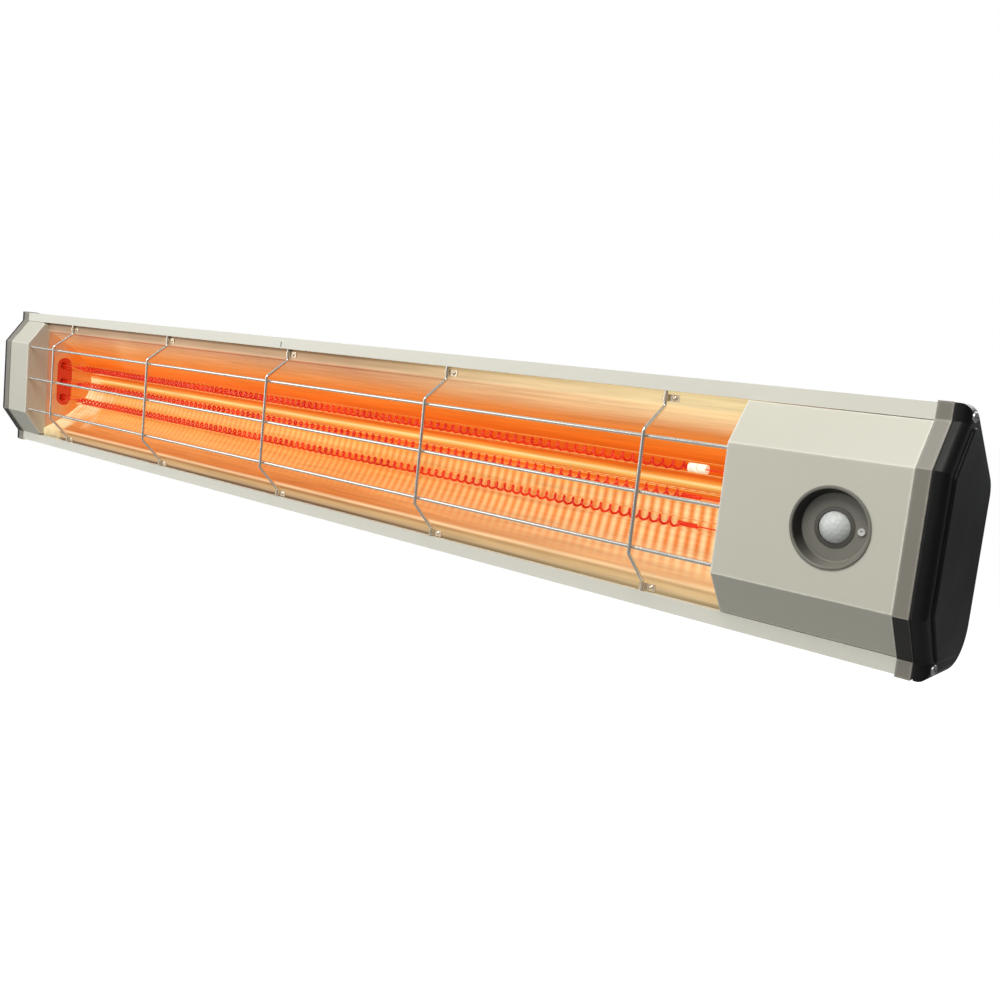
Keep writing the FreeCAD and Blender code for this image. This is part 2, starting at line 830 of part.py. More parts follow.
def make_beads():
    """Two white ceramic beads on the right end of the top coil."""
    height = tube_heights()["top"]
    beads = []
    for gap in ("first_bead", "second_bead"):
        body = loose(new_body("bead"))
        section = sketch(body, "YZ_Plane", f"coil_right+{gap}")
        circle(section, "tube_y", height, "bead_radius")
        circle(section, "tube_y", height, "bead_bore")
        pad(section, "bead_length")
        beads.append(body)
    seat(group("coil_beads", beads))


def make_caps(side, word):
    """Ceramic caps on the tubes' ends, each with a hole for the coil's lead."""
    caps = []
    for height in tube_heights().values():
        body = loose(new_body("tube_cap"))
        near = "tube_left" if side == LEFT else "tube_right"
        start = f"{side}*({near}-cap_grip)"
        section = sketch(body, "YZ_Plane", start)
        circle(section, "tube_y", height, "tube_radius+cap_wall")
        pad(section, "cap_length", reverse=side == LEFT)
        socket = sketch(body, "YZ_Plane", start)
        circle(socket, "tube_y", height, "tube_radius+cap_play")
        pocket(socket, "cap_grip+cap_play", reverse=side == RIGHT)
        lead = sketch(body, "YZ_Plane", start)
        circle(lead, "tube_y", height, "lead_radius+cap_play")
        pocket(lead, "cap_length+past", reverse=side == RIGHT)
        caps.append(body)
    seat(group(f"tube_caps_{word}", caps))


# ---------------------------------------------------------------- guard

def make_long_wires():
    """Three straight wires along the guard, their ends held in the front covers."""
    wires = []
    for step in (-1, 0, 1):
        body = loose(new_body("long_wire"))
        section = sketch(body, "YZ_Plane", "-(between_rings/2-left_length+wire_grip)")
        circle(section, "long_wire_y", f"sensor_z+({step})*long_wire_pitch", "wire_radius")
        pad(section, "between_rings-left_length-control_length+2*wire_grip")
        wires.append(body)
    seat(group("guard_long_wires", wires))


def bent_rod(points, radius, bend):
    """A round rod along straight runs joined by tangent arcs of one bend radius."""
    edges = []
    begin = points[0]
    for before, corner, after in zip(points, points[1:], points[2:]):
        back = (before - corner).normalize()
        ahead = (after - corner).normalize()
        half_turn = back.getAngle(ahead) / 2
        reach = bend / math.tan(half_turn)
        bisector = (back + ahead).normalize()
        centre = corner + bisector * (bend / math.sin(half_turn))
        start, finish = corner + back * reach, corner + ahead * reach
        edges.append(Part.LineSegment(begin, start).toShape())
        edges.append(Part.Arc(start, centre - bisector * bend, finish).toShape())
        begin = finish
    edges.append(Part.LineSegment(begin, points[-1]).toShape())
    path = Part.Wire(edges)
    along = points[1] - points[0]
    section = Part.Wire(Part.Circle(points[0], along, radius).toShape())
    return path.makePipeShell([section], True, False)


def cross_wire_points():
    """The bends of a cross wire, seen end on, from the bottom lip to the top one."""
    leg = number("leg_y")
    front = number("cross_wire_y")
    low = number("rail_height-leg_reach")
    high = number("body_height-rail_height+leg_reach")
    low_knee = number("rail_height+low_knee")
    high_knee = number("body_height-rail_height-high_knee")
    low_front = number("rail_height+chamfer_height+low_front")
    high_front = number("body_height-rail_height-chamfer_height+high_front")
    places = [(leg, low), (leg, low_knee), (front, low_front),
              (front, high_front), (leg, high_knee), (leg, high)]
    return [Vector(0, y, z) for y, z in places]


def make_cross_wires():
    """Five cross wires, bent out to the front plane and back into the lips of the rails."""
    wires = []
    for place in cross_places():
        wire = doc.addObject("Part::Feature", "cross_wire")
        wire.Shape = bent_rod(cross_wire_points(), number("wire_radius"), number("wire_bend"))
        bind(wire, "Placement.Base.x", place)
        wires.append(wire)
    seat(group("guard_cross_wires", wires))


CLIP_HEIGHTS = ("rail_height+low_clip", "body_height-rail_height-high_clip")


def rivet_places():
    """Where the guard's rivets stand on the flanges."""
    return [(number(f"{place}+rivet_x"), number(height))
            for place in cross_places() for height in CLIP_HEIGHTS]


def clip_shape():
    """One saddle clip: a strip on the flange, humped over the leg and pierced for its rivet."""
    back, leg = number("flange_y"), number("leg_y")
    wall, width = number("clip_wall"), number("clip_width")
    low = -width / 2
    inner = number("wire_radius+clip_play")
    outer = number("wire_radius+clip_wall")
    strip = Part.makeBox(number("clip_length"), wall, width, Vector(-number("clip_tail"), back - wall, low))
    hump = Part.makeCylinder(outer, width, Vector(0, leg, low))
    ahead = Part.makeBox(4 * outer, 4 * outer, width, Vector(-2 * outer, back - 4 * outer, low))
    room = Part.makeCylinder(inner, width, Vector(0, leg, low))
    behind = Part.makeBox(2 * inner, back, width, Vector(-inner, leg, low))
    rivet = Vector(number("rivet_x"), 0, 0)
    hole = Part.makeCylinder(number("rivet_hole_radius"), back, rivet, Vector(0, 1, 0))
    return strip.fuse(hump.common(ahead)).cut(room).cut(behind).cut(hole).removeSplitter()


def make_clips():
    """Ten saddle clips that hold the cross wires' legs on the flanges."""
    clips = []
    for place in cross_places():
        for height in CLIP_HEIGHTS:
            clip = doc.addObject("Part::Feature", "guard_clip")
            clip.Shape = clip_shape()
            bind(clip, "Placement.Base.x", place)
            bind(clip, "Placement.Base.z", height)
            clips.append(clip)
    seat(group("guard_clips", clips))


def make_rivets():
    """Ten domed rivets through the clips and the flanges."""
    front = number("flange_y-clip_wall")
    ball_radius = number("rivet_ball")
    rivets = []
    for x, z in rivet_places():
        ball = Part.makeSphere(ball_radius, Vector(x, front + number("rivet_sink"), z))
        corner = Vector(x - 2 * ball_radius, front - 2 * ball_radius, z - 2 * ball_radius)
        ahead = Part.makeBox(4 * ball_radius, 2 * ball_radius, 4 * ball_radius, corner)
        shank = Part.makeCylinder(number("rivet_radius"), number("rivet_length"),
                                  Vector(x, front, z), Vector(0, 1, 0))
        rivet = doc.addObject("Part::Feature", "guard_rivet")
        rivet.Shape = ball.common(ahead).fuse(shank)
        rivets.append(rivet)
    seat(group("guard_rivets", rivets))


# ---------------------------------------------------------------- motion sensor

def turned_piece(label, corners):
    """A round piece of the sensor, turned about the sensor's axis from (radius, depth) corners."""
    body = new_body(label)
    section = sketch(body, "XY_Plane")
    loop(section, corners)
    revolve(section, "V_Axis")
    return body


def seat_sensor(body):
    """Move a piece drawn about the sensor's axis to its place in the control cover."""
    bind(body, "Placement.Base.x", "sensor_x")
    bind(body, "Placement.Base.y", "-(standoff + back_depth) - front_depth")
    bind(body, "Placement.Base.z", "sensor_z-body_height/2")


def make_sensor():
    """The recessed cup with its floor, the ring round the lens, the lens, the screw and the boards."""
    cup = turned_piece("sensor_cup", [
        ("cup_radius", "0"), ("cup_radius", "-cup_rim", "cup_edge"),
        ("cup_radius-cup_rim_width", "-cup_rim", "cup_edge"),
        ("cup_radius-cup_taper", "cup_depth", "cup_corner"), ("lens_radius+1", "cup_depth"),
        ("lens_radius+1", "cup_depth+cup_floor"),
        ("cup_radius-2*cup_floor", "cup_depth+cup_floor", "cup_corner"),
        ("cup_radius-cup_floor", "0"),
    ])
    hole = sketch(cup, "XZ_Plane", "-cup_depth")
    circle(hole, "cup_screw_x", "0", "cup_screw_radius+hole_play/2")
    pocket(hole, "4*cup_floor", both=True)
    posts = sketch(cup, "XZ_Plane", "-(cup_depth+cup_floor-hole_play)")
    for step in (-1, 1):
        circle(posts, "0", f"{step}*post_spread", "post_radius")
    pad(posts, "post_length", reverse=True)
    seat_sensor(cup)
    ring = turned_piece("lens_ring", [
        ("lens_radius+0.1", "cup_depth-1"), ("lens_radius+0.1", "cup_depth+3"),
        ("lens_radius+lens_ring_width", "cup_depth+3"), ("lens_radius+lens_ring_width", "cup_depth"),
        ("lens_radius+lens_ring_flange", "cup_depth"), ("lens_radius+lens_ring_flange", "cup_depth-0.4"),
    ])
    seat_sensor(ring)
    make_lens()
    make_cup_screw()
    make_sensor_board()


def make_lens():
    """The thin moulded dome in front of the sensor."""
    rim, rise, wall = number("lens_radius"), number("lens_rise"), number("lens_wall")
    ball = (rim * rim + rise * rise) / (2 * rise)
    base = number("cup_depth+lens_base")
    centre = Vector(0, base - rise + ball, 0)
    cap = Part.makeSphere(ball, centre).cut(Part.makeSphere(ball - wall, centre))
    corner = Vector(-2 * ball, base - 2 * rise, -2 * ball)
    cap = cap.common(Part.makeBox(4 * ball, 2 * rise, 4 * ball, corner))
    start, depth, back = Vector(0, base, 0), number("lens_skirt"), Vector(0, 1, 0)
    skirt = Part.makeCylinder(rim, depth, start, back).cut(Part.makeCylinder(rim - wall, depth, start, back))
    item = feature_of("sensor_lens", cap.fuse(skirt).removeSplitter())
    seat_sensor(item)


def make_cup_screw():
    """The small screw in the cup's floor."""
    screw = new_body("cup_screw")
    head = sketch(screw, "XZ_Plane", "-cup_depth")
    circle(head, "cup_screw_x", "0", "cup_head_radius")
    pad(head, "cup_head_height")
    shank = sketch(screw, "XZ_Plane", "-cup_depth")
    circle(shank, "cup_screw_x", "0", "cup_screw_radius")
    pad(shank, "cup_screw_length", reverse=True)
    recess = sketch(screw, "XZ_Plane", "-cup_depth+cup_head_height")
    circle(recess, "cup_screw_x", "0", "cup_recess_radius")
    pocket(recess, "cup_recess_depth")
    seat_sensor(screw)


def make_sensor_board():
    """The small board behind the cup and the metal can of the heat sensor on it."""
    board = new_body("sensor_board")
    plate = sketch(board, "XZ_Plane", "-cup_depth-sensor_board_gap")
    half = "sensor_board_half"
    rectangle(plate, f"-{half}", half, f"-{half}", half, "sensor_board_corner")
    pad(plate, "board_wall", reverse=True)
    seat_sensor(board)
    can = new_body("pir_sensor")
    barrel = sketch(can, "XZ_Plane", "-cup_depth-sensor_board_gap")
    circle(barrel, "0", "0", "can_radius")
    pad(barrel, "can_height")
    seat_sensor(can)


# ---------------------------------------------------------------- electrics in the control end

def block(label, low_x, high_x, low_y, high_y, low_z, high_z, radius=None):
    """A box-shaped piece in the heater's frame."""
    body = new_body(label)
    base = sketch(body, "XZ_Plane", f"-({high_y})")
    rectangle(base, low_x, high_x, low_z, high_z, radius)
    pad(base, f"({high_y})-({low_y})")
    return body


def make_control_board():
    """The power board on four posts against the back, with its two relays."""
    board_back = "back_depth-shell_wall-board_post_length"
    front = f"{board_back}-board_wall"
    board = block("control_board", "board_low_x", "board_high_x", front, board_back,
                  "board_low_z", "board_high_z", "2")
    seat(board)
    posts = []
    for x in ("board_low_x+board_post_inset", "board_high_x-board_post_inset"):
        for z in ("board_low_z+board_post_inset", "board_high_z-board_post_inset-1"):
            post = loose(new_body("board_post"))
            section = sketch(post, "XZ_Plane", "-(back_depth-shell_wall)")
            circle(section, x, z, "board_post_radius")
            pad(section, "board_post_length")
            posts.append(post)
    seat(group("board_posts", posts))
    relays = []
    for step in range(2):
        x = f"first_relay_x+{step}*relay_pitch"
        relays.append(loose(block("relay", x, f"{x}+relay_length", f"{front}-relay_depth", front,
                                  "relay_low_z", "relay_high_z", "1")))
    seat(group("relays", relays))


def make_terminal_block():
    """The screw terminals on the housing's floor, one pocket for each wire."""
    count = 5
    body = block("terminal_block", "terminal_low_x", f"terminal_low_x+{count}*terminal_pitch",
                 "terminal_low_y", "terminal_high_y", "shell_wall", "terminal_top")
    screws = sketch(body, "XY_Plane", "terminal_top")
    entries = sketch(body, "XZ_Plane", "-terminal_high_y")
    for step in range(count):
        x = f"terminal_low_x+({step}+0.5)*terminal_pitch"
        circle(screws, x, "terminal_screw_y", "terminal_radius")
        circle(entries, x, "terminal_entry_z", "terminal_radius")
    pocket(screws, "terminal_screw_depth")
    pocket(entries, "terminal_entry_depth", reverse=True)
    seat(body)


def make_common_strip():
    """The nickel strip that joins the three coils at the left end."""
    body = new_body("common_strip")
    section = sketch(body, "YZ_Plane", "-(tube_left+lead_left-strip_inset)")
    rectangle(section, "tube_y-strip_reach", "tube_y+strip_reach", "tube_z-tube_pitch-strip_reach",
              "tube_z+tube_pitch+strip_reach", "1")
    for height in tube_heights().values():
        circle(section, "tube_y", height, "lead_radius+thread_play")
    pad(section, "strip_wall")
    seat(body)


def make_leads():
    """The return lead behind the trough, and the three feed leads from the tubes' right ends."""
    y = number("tube_y")
    top = number("terminal_top")
    strip = number("-(tube_left+lead_left-strip_inset)+strip_wall/2")
    first = number("terminal_low_x+terminal_pitch/2")
    between = number("tube_z+tube_pitch*5/7")
    behind, over, above = number("lead_behind"), number("lead_over"), number("lead_above")
    entry = number("lead_entry")
    route = [
        Vector(strip, number("tube_y+strip_reach"), between), Vector(strip, behind, between),
        Vector(strip, behind, over), Vector(first, behind, over),
        Vector(first, behind, above), Vector(first, entry, above), Vector(first, entry, top)]
    seat(feature_of("return_lead", bent_rod(route, number("return_radius"), number("return_bend"))))
    leads = []
    for step, height in enumerate(tube_heights().values(), start=1):
        x = first + step * number("terminal_pitch")
        z = number(height)
        route = [Vector(number("tube_right+lead_right"), y, z), Vector(x, y, z), Vector(x, y, top)]
        lead = doc.addObject("Part::Feature", "feed_lead")
        lead.Shape = bent_rod(route, number("feed_radius"), number("feed_bend"))
        leads.append(lead)
    seat(group("feed_leads", leads))


def make_gland():
    """The cable gland in the back and its locknut inside. No cable runs through it."""
    gland = new_body("cable_gland")
    barrel = sketch(gland, "XZ_Plane", "-(back_depth-shell_wall-gland_barrel)")
    circle(barrel, "gland_x", "gland_z", "gland_thread")
    pad(barrel, "gland_barrel+shell_wall", reverse=True)
    flange = sketch(gland, "XZ_Plane", "-back_depth")
    hexagon(flange, "gland_x", "gland_z", "gland_hexagon")
    pad(flange, "gland_flange", reverse=True)
    dome = sketch(gland, "XZ_Plane", "-(back_depth+gland_flange)")
    circle(dome, "gland_x", "gland_z", "gland_dome_radius")
    pad(dome, "gland_dome", reverse=True)
    far = number("back_depth+gland_flange+gland_dome")
    fillet(gland, "gland_dome_round", lambda edge: abs(edge.BoundBox.YMin - far) < NEAR)
    bore = sketch(gland, "XZ_Plane", "-back_depth")
    circle(bore, "gland_x", "gland_z", "gland_bore")
    pocket(bore, "4*(gland_flange+gland_dome)", both=True)
    seat(gland)
    nut = new_body("gland_nut")
    section = sketch(nut, "XZ_Plane", "-(back_depth-shell_wall)")
    hexagon(section, "gland_x", "gland_z", "gland_hexagon")
    circle(section, "gland_x", "gland_z", "gland_thread+thread_play")
    pad(section, "gland_nut_height")
    seat(nut)


# ---------------------------------------------------------------- hanging

def ear(body, places, root):
    """Two parallel ears from a plate to the pivot, each with the pivot hole."""
    tip = "pivot_y-ear_radius" if root == "0" else "pivot_y+ear_radius"
    for place in places:
        section = sketch(body, "YZ_Plane", place)
        loop(section, [(root, "-ear_radius"), (tip, "-ear_radius", "ear_radius-0.1"),
                       (tip, "ear_radius", "ear_radius-0.1"), (root, "ear_radius")])
        circle(section, "pivot_y", "0", "pivot_hole_radius")
        pad(section, "bracket_wall")


def make_wall_bracket(side, word):
    """A folded steel bracket: a wall plate with two bolt holes, and two ears."""
    body = new_body(f"wall_bracket_{word}")
    plate = sketch(body, "XZ_Plane")
    rectangle(plate, "-bracket_half_width", "bracket_half_width", "-bracket_half_height",
              "bracket_half_height", "bracket_corner")
    for step in (-1, 1):
        circle(plate, "0", f"({step})*wall_hole_spacing/2", "wall_hole_radius")
    pad(plate, "bracket_wall")
    ear(body, ("wall_ear_x", "-wall_ear_x-bracket_wall"), "0")
    bind(body, "Placement.Base.x", f"{side}*bracket_spacing/2")


def make_tilt_arm(side, word):
    """The heater's half of the hinge: a plate screwed to the back, and two ears inside the others."""
    body = new_body(f"tilt_arm_{word}")
    plate = sketch(body, "XZ_Plane", "standoff")
    rectangle(plate, "-arm_half_width", "arm_half_width", "-arm_half_height", "arm_half_height",
              "arm_corner")
    for step in (-1, 1):
        circle(plate, f"({step})*arm_screw_x", "0", "arm_screw_radius+hole_play")
    pad(plate, "bracket_wall", reverse=True)
    ear(body, ("arm_ear_x", "-arm_ear_x-bracket_wall"), "-standoff")
    bind(body, "Placement.Base.x", f"{side}*bracket_spacing/2")


def make_arm_screws():
    """Four screws that hold the arms on the housing."""
    screws = []
    plate = "-(standoff-bracket_wall)"
    for side in (LEFT, RIGHT):
        for step in (-1, 1):
            place = f"{side}*bracket_spacing/2+({step})*arm_screw_x"
            body = loose(new_body("tilt_arm_screw"))
            head = sketch(body, "XZ_Plane", f"-({plate})")
            circle(head, place, "0", "arm_head_radius")
            pad(head, "arm_head_height", reverse=True)
            shank = sketch(body, "XZ_Plane", f"-({plate})")
            circle(shank, place, "0", "arm_screw_radius")
            pad(shank, "arm_screw_length")
            socket = sketch(body, "XZ_Plane", f"-({plate}+arm_head_height)")
            hexagon(socket, place, "0", "arm_socket")
            pocket(socket, "arm_socket_depth", reverse=True)
            screws.append(body)
    group("tilt_arm_screws", screws)


def pivot_piece(name, side, start, length, draw):
    """A round or six-sided piece on the pivot, from start along X at one bracket."""
    body = loose(new_body(name))
    section = sketch(body, "YZ_Plane", f"{side}*bracket_spacing/2+({start})")
    draw(section)
    pad(section, length)
    return body


def bolt_head(section):
    """The outline of a pivot bolt's head."""
    hexagon(section, "pivot_y", "0", "pivot_head")


def washer_outline(section):
    """The outline of a washer on a pivot bolt."""
    circle(section, "pivot_y", "0", "washer_radius")
    circle(section, "pivot_y", "0", "pivot_radius+hole_play")


def nut_outline(section):
    """The outline of a nut on a pivot bolt."""
    bolt_head(section)
    circle(section, "pivot_y", "0", "pivot_radius+thread_play")


def make_pivot_hardware():
    """The bolt, two washers and nut of each hinge."""
    face = "wall_ear_x+bracket_wall"
    outside = f"{face}+washer_wall"
    bolts, washers, nuts = [], [], []
    for side in (LEFT, RIGHT):
        head = f"-({outside})-pivot_head_height"
        bolt = pivot_piece("pivot_bolt", side, head, "pivot_head_height", bolt_head)
        shank = sketch(bolt, "YZ_Plane", f"{side}*bracket_spacing/2-({outside})")
        circle(shank, "pivot_y", "0", "pivot_radius")
        pad(shank, f"2*({outside})+pivot_nut_height+pivot_thread_end")
        bolts.append(bolt)
        washers.append(pivot_piece("washer", side, f"-({outside})", "washer_wall", washer_outline))
        washers.append(pivot_piece("washer", side, face, "washer_wall", washer_outline))
        nuts.append(pivot_piece("nut", side, outside, "pivot_nut_height", nut_outline))
    group("pivot_bolts", bolts)
    group("pivot_washers", washers)
    group("pivot_nuts", nuts)


# ---------------------------------------------------------------- the whole heater

def check_document():
    """Stop unless every object has recomputed and every node is a valid shape."""
    doc.recompute()
    for item in doc.Objects:
        if "Invalid" in item.State or "Error" in item.State:
            raise RuntimeError(f"{item.Label} did not recompute")
    for node in nodes:
        if node.Shape.isNull() or not node.Shape.isValid():
            raise RuntimeError(f"{node.Label} has no valid shape")


def export_nodes():
    """Write one STEP file for each node."""
    os.makedirs("parts", exist_ok=True)
    for node in nodes:
        node.Shape.exportStep(f"parts/{node.Label}.step")


make_housing()
make_covers()
make_reflector()
for side, word in ((LEFT, "left"), (RIGHT, "right")):
    make_ring(side, word)
    make_gasket(side, word)
    make_end_cover(side, word)
    make_end_plate(side, word)
    make_holder(side, word)
    make_caps(side, word)
    make_wall_bracket(side, word)
    make_tilt_arm(side, word)
make_end_screws()
for word, height in tube_heights().items():
    make_tube(word, height)
    make_coil(word, height)
make_beads()
make_long_wires()
make_cross_wires()
make_clips()
make_rivets()
make_sensor()
make_control_board()
make_terminal_block()
make_common_strip()
make_leads()
make_gland()
make_arm_screws()
make_pivot_hardware()
check_document()
export_nodes()
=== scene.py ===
"""A wall-mounted infrared strip heater: three glowing quartz tubes in a trough behind a wire guard."""
import math

import bmesh
import bpy
from mathutils import Matrix, Vector


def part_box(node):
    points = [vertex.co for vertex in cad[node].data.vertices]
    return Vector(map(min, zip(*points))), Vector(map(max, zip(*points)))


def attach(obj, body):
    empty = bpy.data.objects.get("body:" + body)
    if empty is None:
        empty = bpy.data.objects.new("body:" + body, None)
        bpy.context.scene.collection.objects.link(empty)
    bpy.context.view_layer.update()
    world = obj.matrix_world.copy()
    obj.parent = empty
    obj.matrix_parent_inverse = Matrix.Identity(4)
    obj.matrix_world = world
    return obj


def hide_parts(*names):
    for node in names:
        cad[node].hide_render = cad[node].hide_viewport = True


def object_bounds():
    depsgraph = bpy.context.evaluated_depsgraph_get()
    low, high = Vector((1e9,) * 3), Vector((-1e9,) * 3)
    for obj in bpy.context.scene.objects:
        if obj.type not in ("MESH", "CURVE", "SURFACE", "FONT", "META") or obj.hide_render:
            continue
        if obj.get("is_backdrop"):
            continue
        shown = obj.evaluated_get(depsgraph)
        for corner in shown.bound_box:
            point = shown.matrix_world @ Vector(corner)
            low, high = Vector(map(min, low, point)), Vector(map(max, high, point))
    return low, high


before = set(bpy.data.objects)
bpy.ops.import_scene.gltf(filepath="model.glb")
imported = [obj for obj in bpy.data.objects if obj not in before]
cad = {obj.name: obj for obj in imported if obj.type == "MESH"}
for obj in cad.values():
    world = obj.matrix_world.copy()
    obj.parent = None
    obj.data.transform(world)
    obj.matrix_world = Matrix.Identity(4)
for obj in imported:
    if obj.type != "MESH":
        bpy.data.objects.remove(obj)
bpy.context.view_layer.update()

# The camera stands close to the control end, level with the heater's top edge, and looks along it and a
# little down, so the far end looks much smaller. It leans by six degrees.
camera = bpy.data.objects.new("camera", bpy.data.cameras.new("camera"))
bpy.context.scene.collection.objects.link(camera)
camera.data.sensor_width = 36
camera.data.lens = 36.864
camera_position = (0.7849, -0.7614, 0.0753)
camera_turn, camera_dip, camera_lean = 0.6978, 0.1263, 0.1065
facing = Matrix.Rotation(camera_turn, 4, "Z") @ Matrix.Rotation(math.pi / 2 - camera_dip, 4, "X")
camera.matrix_world = Matrix.Translation(camera_position) @ facing @ Matrix.Rotation(camera_lean, 4, "Z")
bpy.context.scene.camera = camera


# The housing is an extruded aluminium channel with two rails along its front. It is powder-coated a light
# warm grey with a fine orange-peel texture, a little rubbed along its edges and dulled by handling.
def new_group(name, inputs, outputs):
    """A shader group with the given sockets, and its input and output nodes."""
    tree = bpy.data.node_groups.new(name, "ShaderNodeTree")
    for label, kind, value in inputs:
        socket = tree.interface.new_socket(name=label, in_out="INPUT", socket_type="NodeSocket" + kind)
        socket.default_value = value
    for label, kind in outputs:
        tree.interface.new_socket(name=label, in_out="OUTPUT", socket_type="NodeSocket" + kind)
    return tree, tree.nodes.new("NodeGroupInput"), tree.nodes.new("NodeGroupOutput")


def add(tree, kind, links=(), **settings):
    """A node of that kind, with its properties set and its inputs linked or given values."""
    node = tree.nodes.new("ShaderNode" + kind)
    for key, value in settings.items():
        setattr(node, key, value)
    for socket, source in dict(links).items():
        if isinstance(source, bpy.types.NodeSocket):
            tree.links.new(source, node.inputs[socket])
        else:
            node.inputs[socket].default_value = source
    return node


def blend_colours(tree, factor, first, second):
    """Two colours mixed by a factor."""
    mix = tree.nodes.new("ShaderNodeMix")
    mix.data_type = "RGBA"
    for name, source in (("Factor_Float", factor), ("A_Color", first), ("B_Color", second)):
        socket = next(item for item in mix.inputs if item.identifier == name)
        if isinstance(source, bpy.types.NodeSocket):
            tree.links.new(source, socket)
        else:
            socket.default_value = source
    return next(item for item in mix.outputs if item.identifier == "Result_Color")


def build_wear_and_sheen():
    """Edge wear and painted edge highlight: a mask along convex and concave edges, in patches above the
    least.
    """
    tree, given, result = new_group(
        "edge_wear_and_sheen", [("Radius", "Float", 0.0006), ("Amount", "Float", 0.5), ("Least", "Float", 0.0)],
        [("Mask", "Float")])
    rounded = add(tree, "Bevel", {"Radius": given.outputs["Radius"]}, samples=3)
    flat = add(tree, "NewGeometry")
    turn = add(tree, "VectorMath", {0: rounded.outputs[0], 1: flat.outputs["Normal"]},
               operation="DOT_PRODUCT")
    edge = add(tree, "MapRange", {"Value": turn.outputs["Value"], "From Min": 0.995, "From Max": 0.955})
    place = add(tree, "TexCoord")
    patches = add(tree, "TexNoise", {"Vector": place.outputs["Object"], "Scale": 130.0, "Detail": 4.0})
    broken = add(tree, "MapRange", {"Value": patches.outputs[0], "From Min": 0.42, "From Max": 0.62})
    least = add(tree, "Math", {0: broken.outputs[0], 1: given.outputs["Least"]}, operation="MAXIMUM")
    both = add(tree, "Math", {0: edge.outputs[0], 1: least.outputs[0]}, operation="MULTIPLY")
    mask = add(tree, "Math", {0: both.outputs[0], 1: given.outputs["Amount"]}, operation="MULTIPLY")
    tree.links.new(mask.outputs[0], result.inputs["Mask"])
    return tree


def build_drift():
    """Slow change of colour over a surface, as dust, handling and uneven coating leave it."""
    inputs = [("Colour", "Color", (0.5, 0.5, 0.5, 1)), ("Amount", "Float", 0.05), ("Scale", "Float", 14.0)]
    tree, given, result = new_group("colour_drift", inputs, [("Colour", "Color"), ("Patches", "Float")])
    place = add(tree, "TexCoord")
    noise = add(tree, "TexNoise", {"Vector": place.outputs["Object"], "Scale": given.outputs["Scale"],
                                   "Detail": 5.0, "Roughness": 0.6})
    half = add(tree, "Math", {0: noise.outputs[0], 1: 0.5}, operation="SUBTRACT")
    swing = add(tree, "Math", {0: half.outputs[0], 1: given.outputs["Amount"]}, operation="MULTIPLY")
    light = add(tree, "Math", {0: swing.outputs[0], 1: 1.0}, operation="ADD")
    tinted = add(tree, "VectorMath", {0: given.outputs["Colour"], "Scale": light.outputs[0]},
                 operation="SCALE")
    tree.links.new(tinted.outputs[0], result.inputs["Colour"])
    tree.links.new(noise.outputs[0], result.inputs["Patches"])
    return tree


def build_grain():
    """A fine surface texture: pits whose size is in metres, drawn out into lines by the stretch."""
    inputs = [("Size", "Float", 0.001), ("Stretch", "Vector", (1, 1, 1))]
    tree, given, result = new_group("grain", inputs, [("Height", "Float")])
    place = add(tree, "TexCoord")
    shaped = add(tree, "VectorMath", {0: place.outputs["Object"], 1: given.outputs["Stretch"]},
                 operation="MULTIPLY")
    scale = add(tree, "Math", {0: 1.0, 1: given.outputs["Size"]}, operation="DIVIDE")
    noise = add(tree, "TexNoise", {"Vector": shaped.outputs[0], "Scale": scale.outputs[0], "Detail": 3.0})
    tree.links.new(noise.outputs[0], result.inputs["Height"])
    return tree


wear_and_sheen_group, drift_group, grain_group = build_wear_and_sheen(), build_drift(), build_grain()


def shader_of(material):
    """The material's main shader."""
    return material.node_tree.nodes["Principled BSDF"]


def finish(name, colour, roughness, metallic=0.0, wear_and_sheen_colour=None, wear_and_sheen_amount=0.5, edge=0.0006, least=0.0,
           drift=0.06, drift_scale=14.0, grain=0.001, depth=0.00003, stretch=(1, 1, 1), swing=0.08):
    """A painted, moulded or metal finish with drift in its colour, an edge colour and fine grain; the edge
    colour is wear on some finishes and a painted highlight on others.
    """
    material = bpy.data.materials.new(name)
    material.use_nodes = True
    tree = material.node_tree
    shader = shader_of(material)
    shader.inputs["Metallic"].default_value = metallic
    tint = add(tree, "Group", node_tree=drift_group)
    tint.inputs["Colour"].default_value = (*colour, 1)
    tint.inputs["Amount"].default_value = drift
    tint.inputs["Scale"].default_value = drift_scale
    shown = tint.outputs["Colour"]
    if wear_and_sheen_colour:
        edge_marks = add(tree, "Group", node_tree=wear_and_sheen_group)
        edge_marks.inputs["Radius"].default_value = edge
        edge_marks.inputs["Amount"].default_value = wear_and_sheen_amount
        edge_marks.inputs["Least"].default_value = least
        shown = blend_colours(tree, edge_marks.outputs["Mask"], shown, (*wear_and_sheen_colour, 1))
    tree.links.new(shown, shader.inputs["Base Color"])
    texture = add(tree, "Group", node_tree=grain_group)
    texture.inputs["Size"].default_value = grain
    texture.inputs["Stretch"].default_value = stretch
    gloss = add(tree, "MapRange", {"Value": tint.outputs["Patches"], "From Min": 0.3, "From Max": 0.7,
                                   "To Min": roughness - swing / 2, "To Max": roughness + swing / 2})
    tree.links.new(gloss.outputs[0], shader.inputs["Roughness"])
    bump = add(tree, "Bump", {"Strength": 1.0, "Distance": depth, "Height": texture.outputs["Height"]})
    tree.links.new(bump.outputs[0], shader.inputs["Normal"])
    return material


def dress(material, *nodes):
    """Give CAD pieces their finish."""
    for node in nodes:
        for slot in cad[node].material_slots:
            slot.material = material


def light_up(material, colour, strength):
    """Make a finish give off light of one colour."""
    shader_of(material).inputs["Emission Color"].default_value = (*colour, 1)
    shader_of(material).inputs["Emission Strength"].default_value = strength


casing_grey, bare_aluminium = (0.76, 0.75, 0.655), (0.92, 0.91, 0.87)
casing_coat = finish("casing_powder_coat", casing_grey, 0.42, wear_and_sheen_colour=bare_aluminium, wear_and_sheen_amount=0.35,
                     drift=0.05, grain=0.0011, depth=0.00004)
dress(casing_coat, "housing")

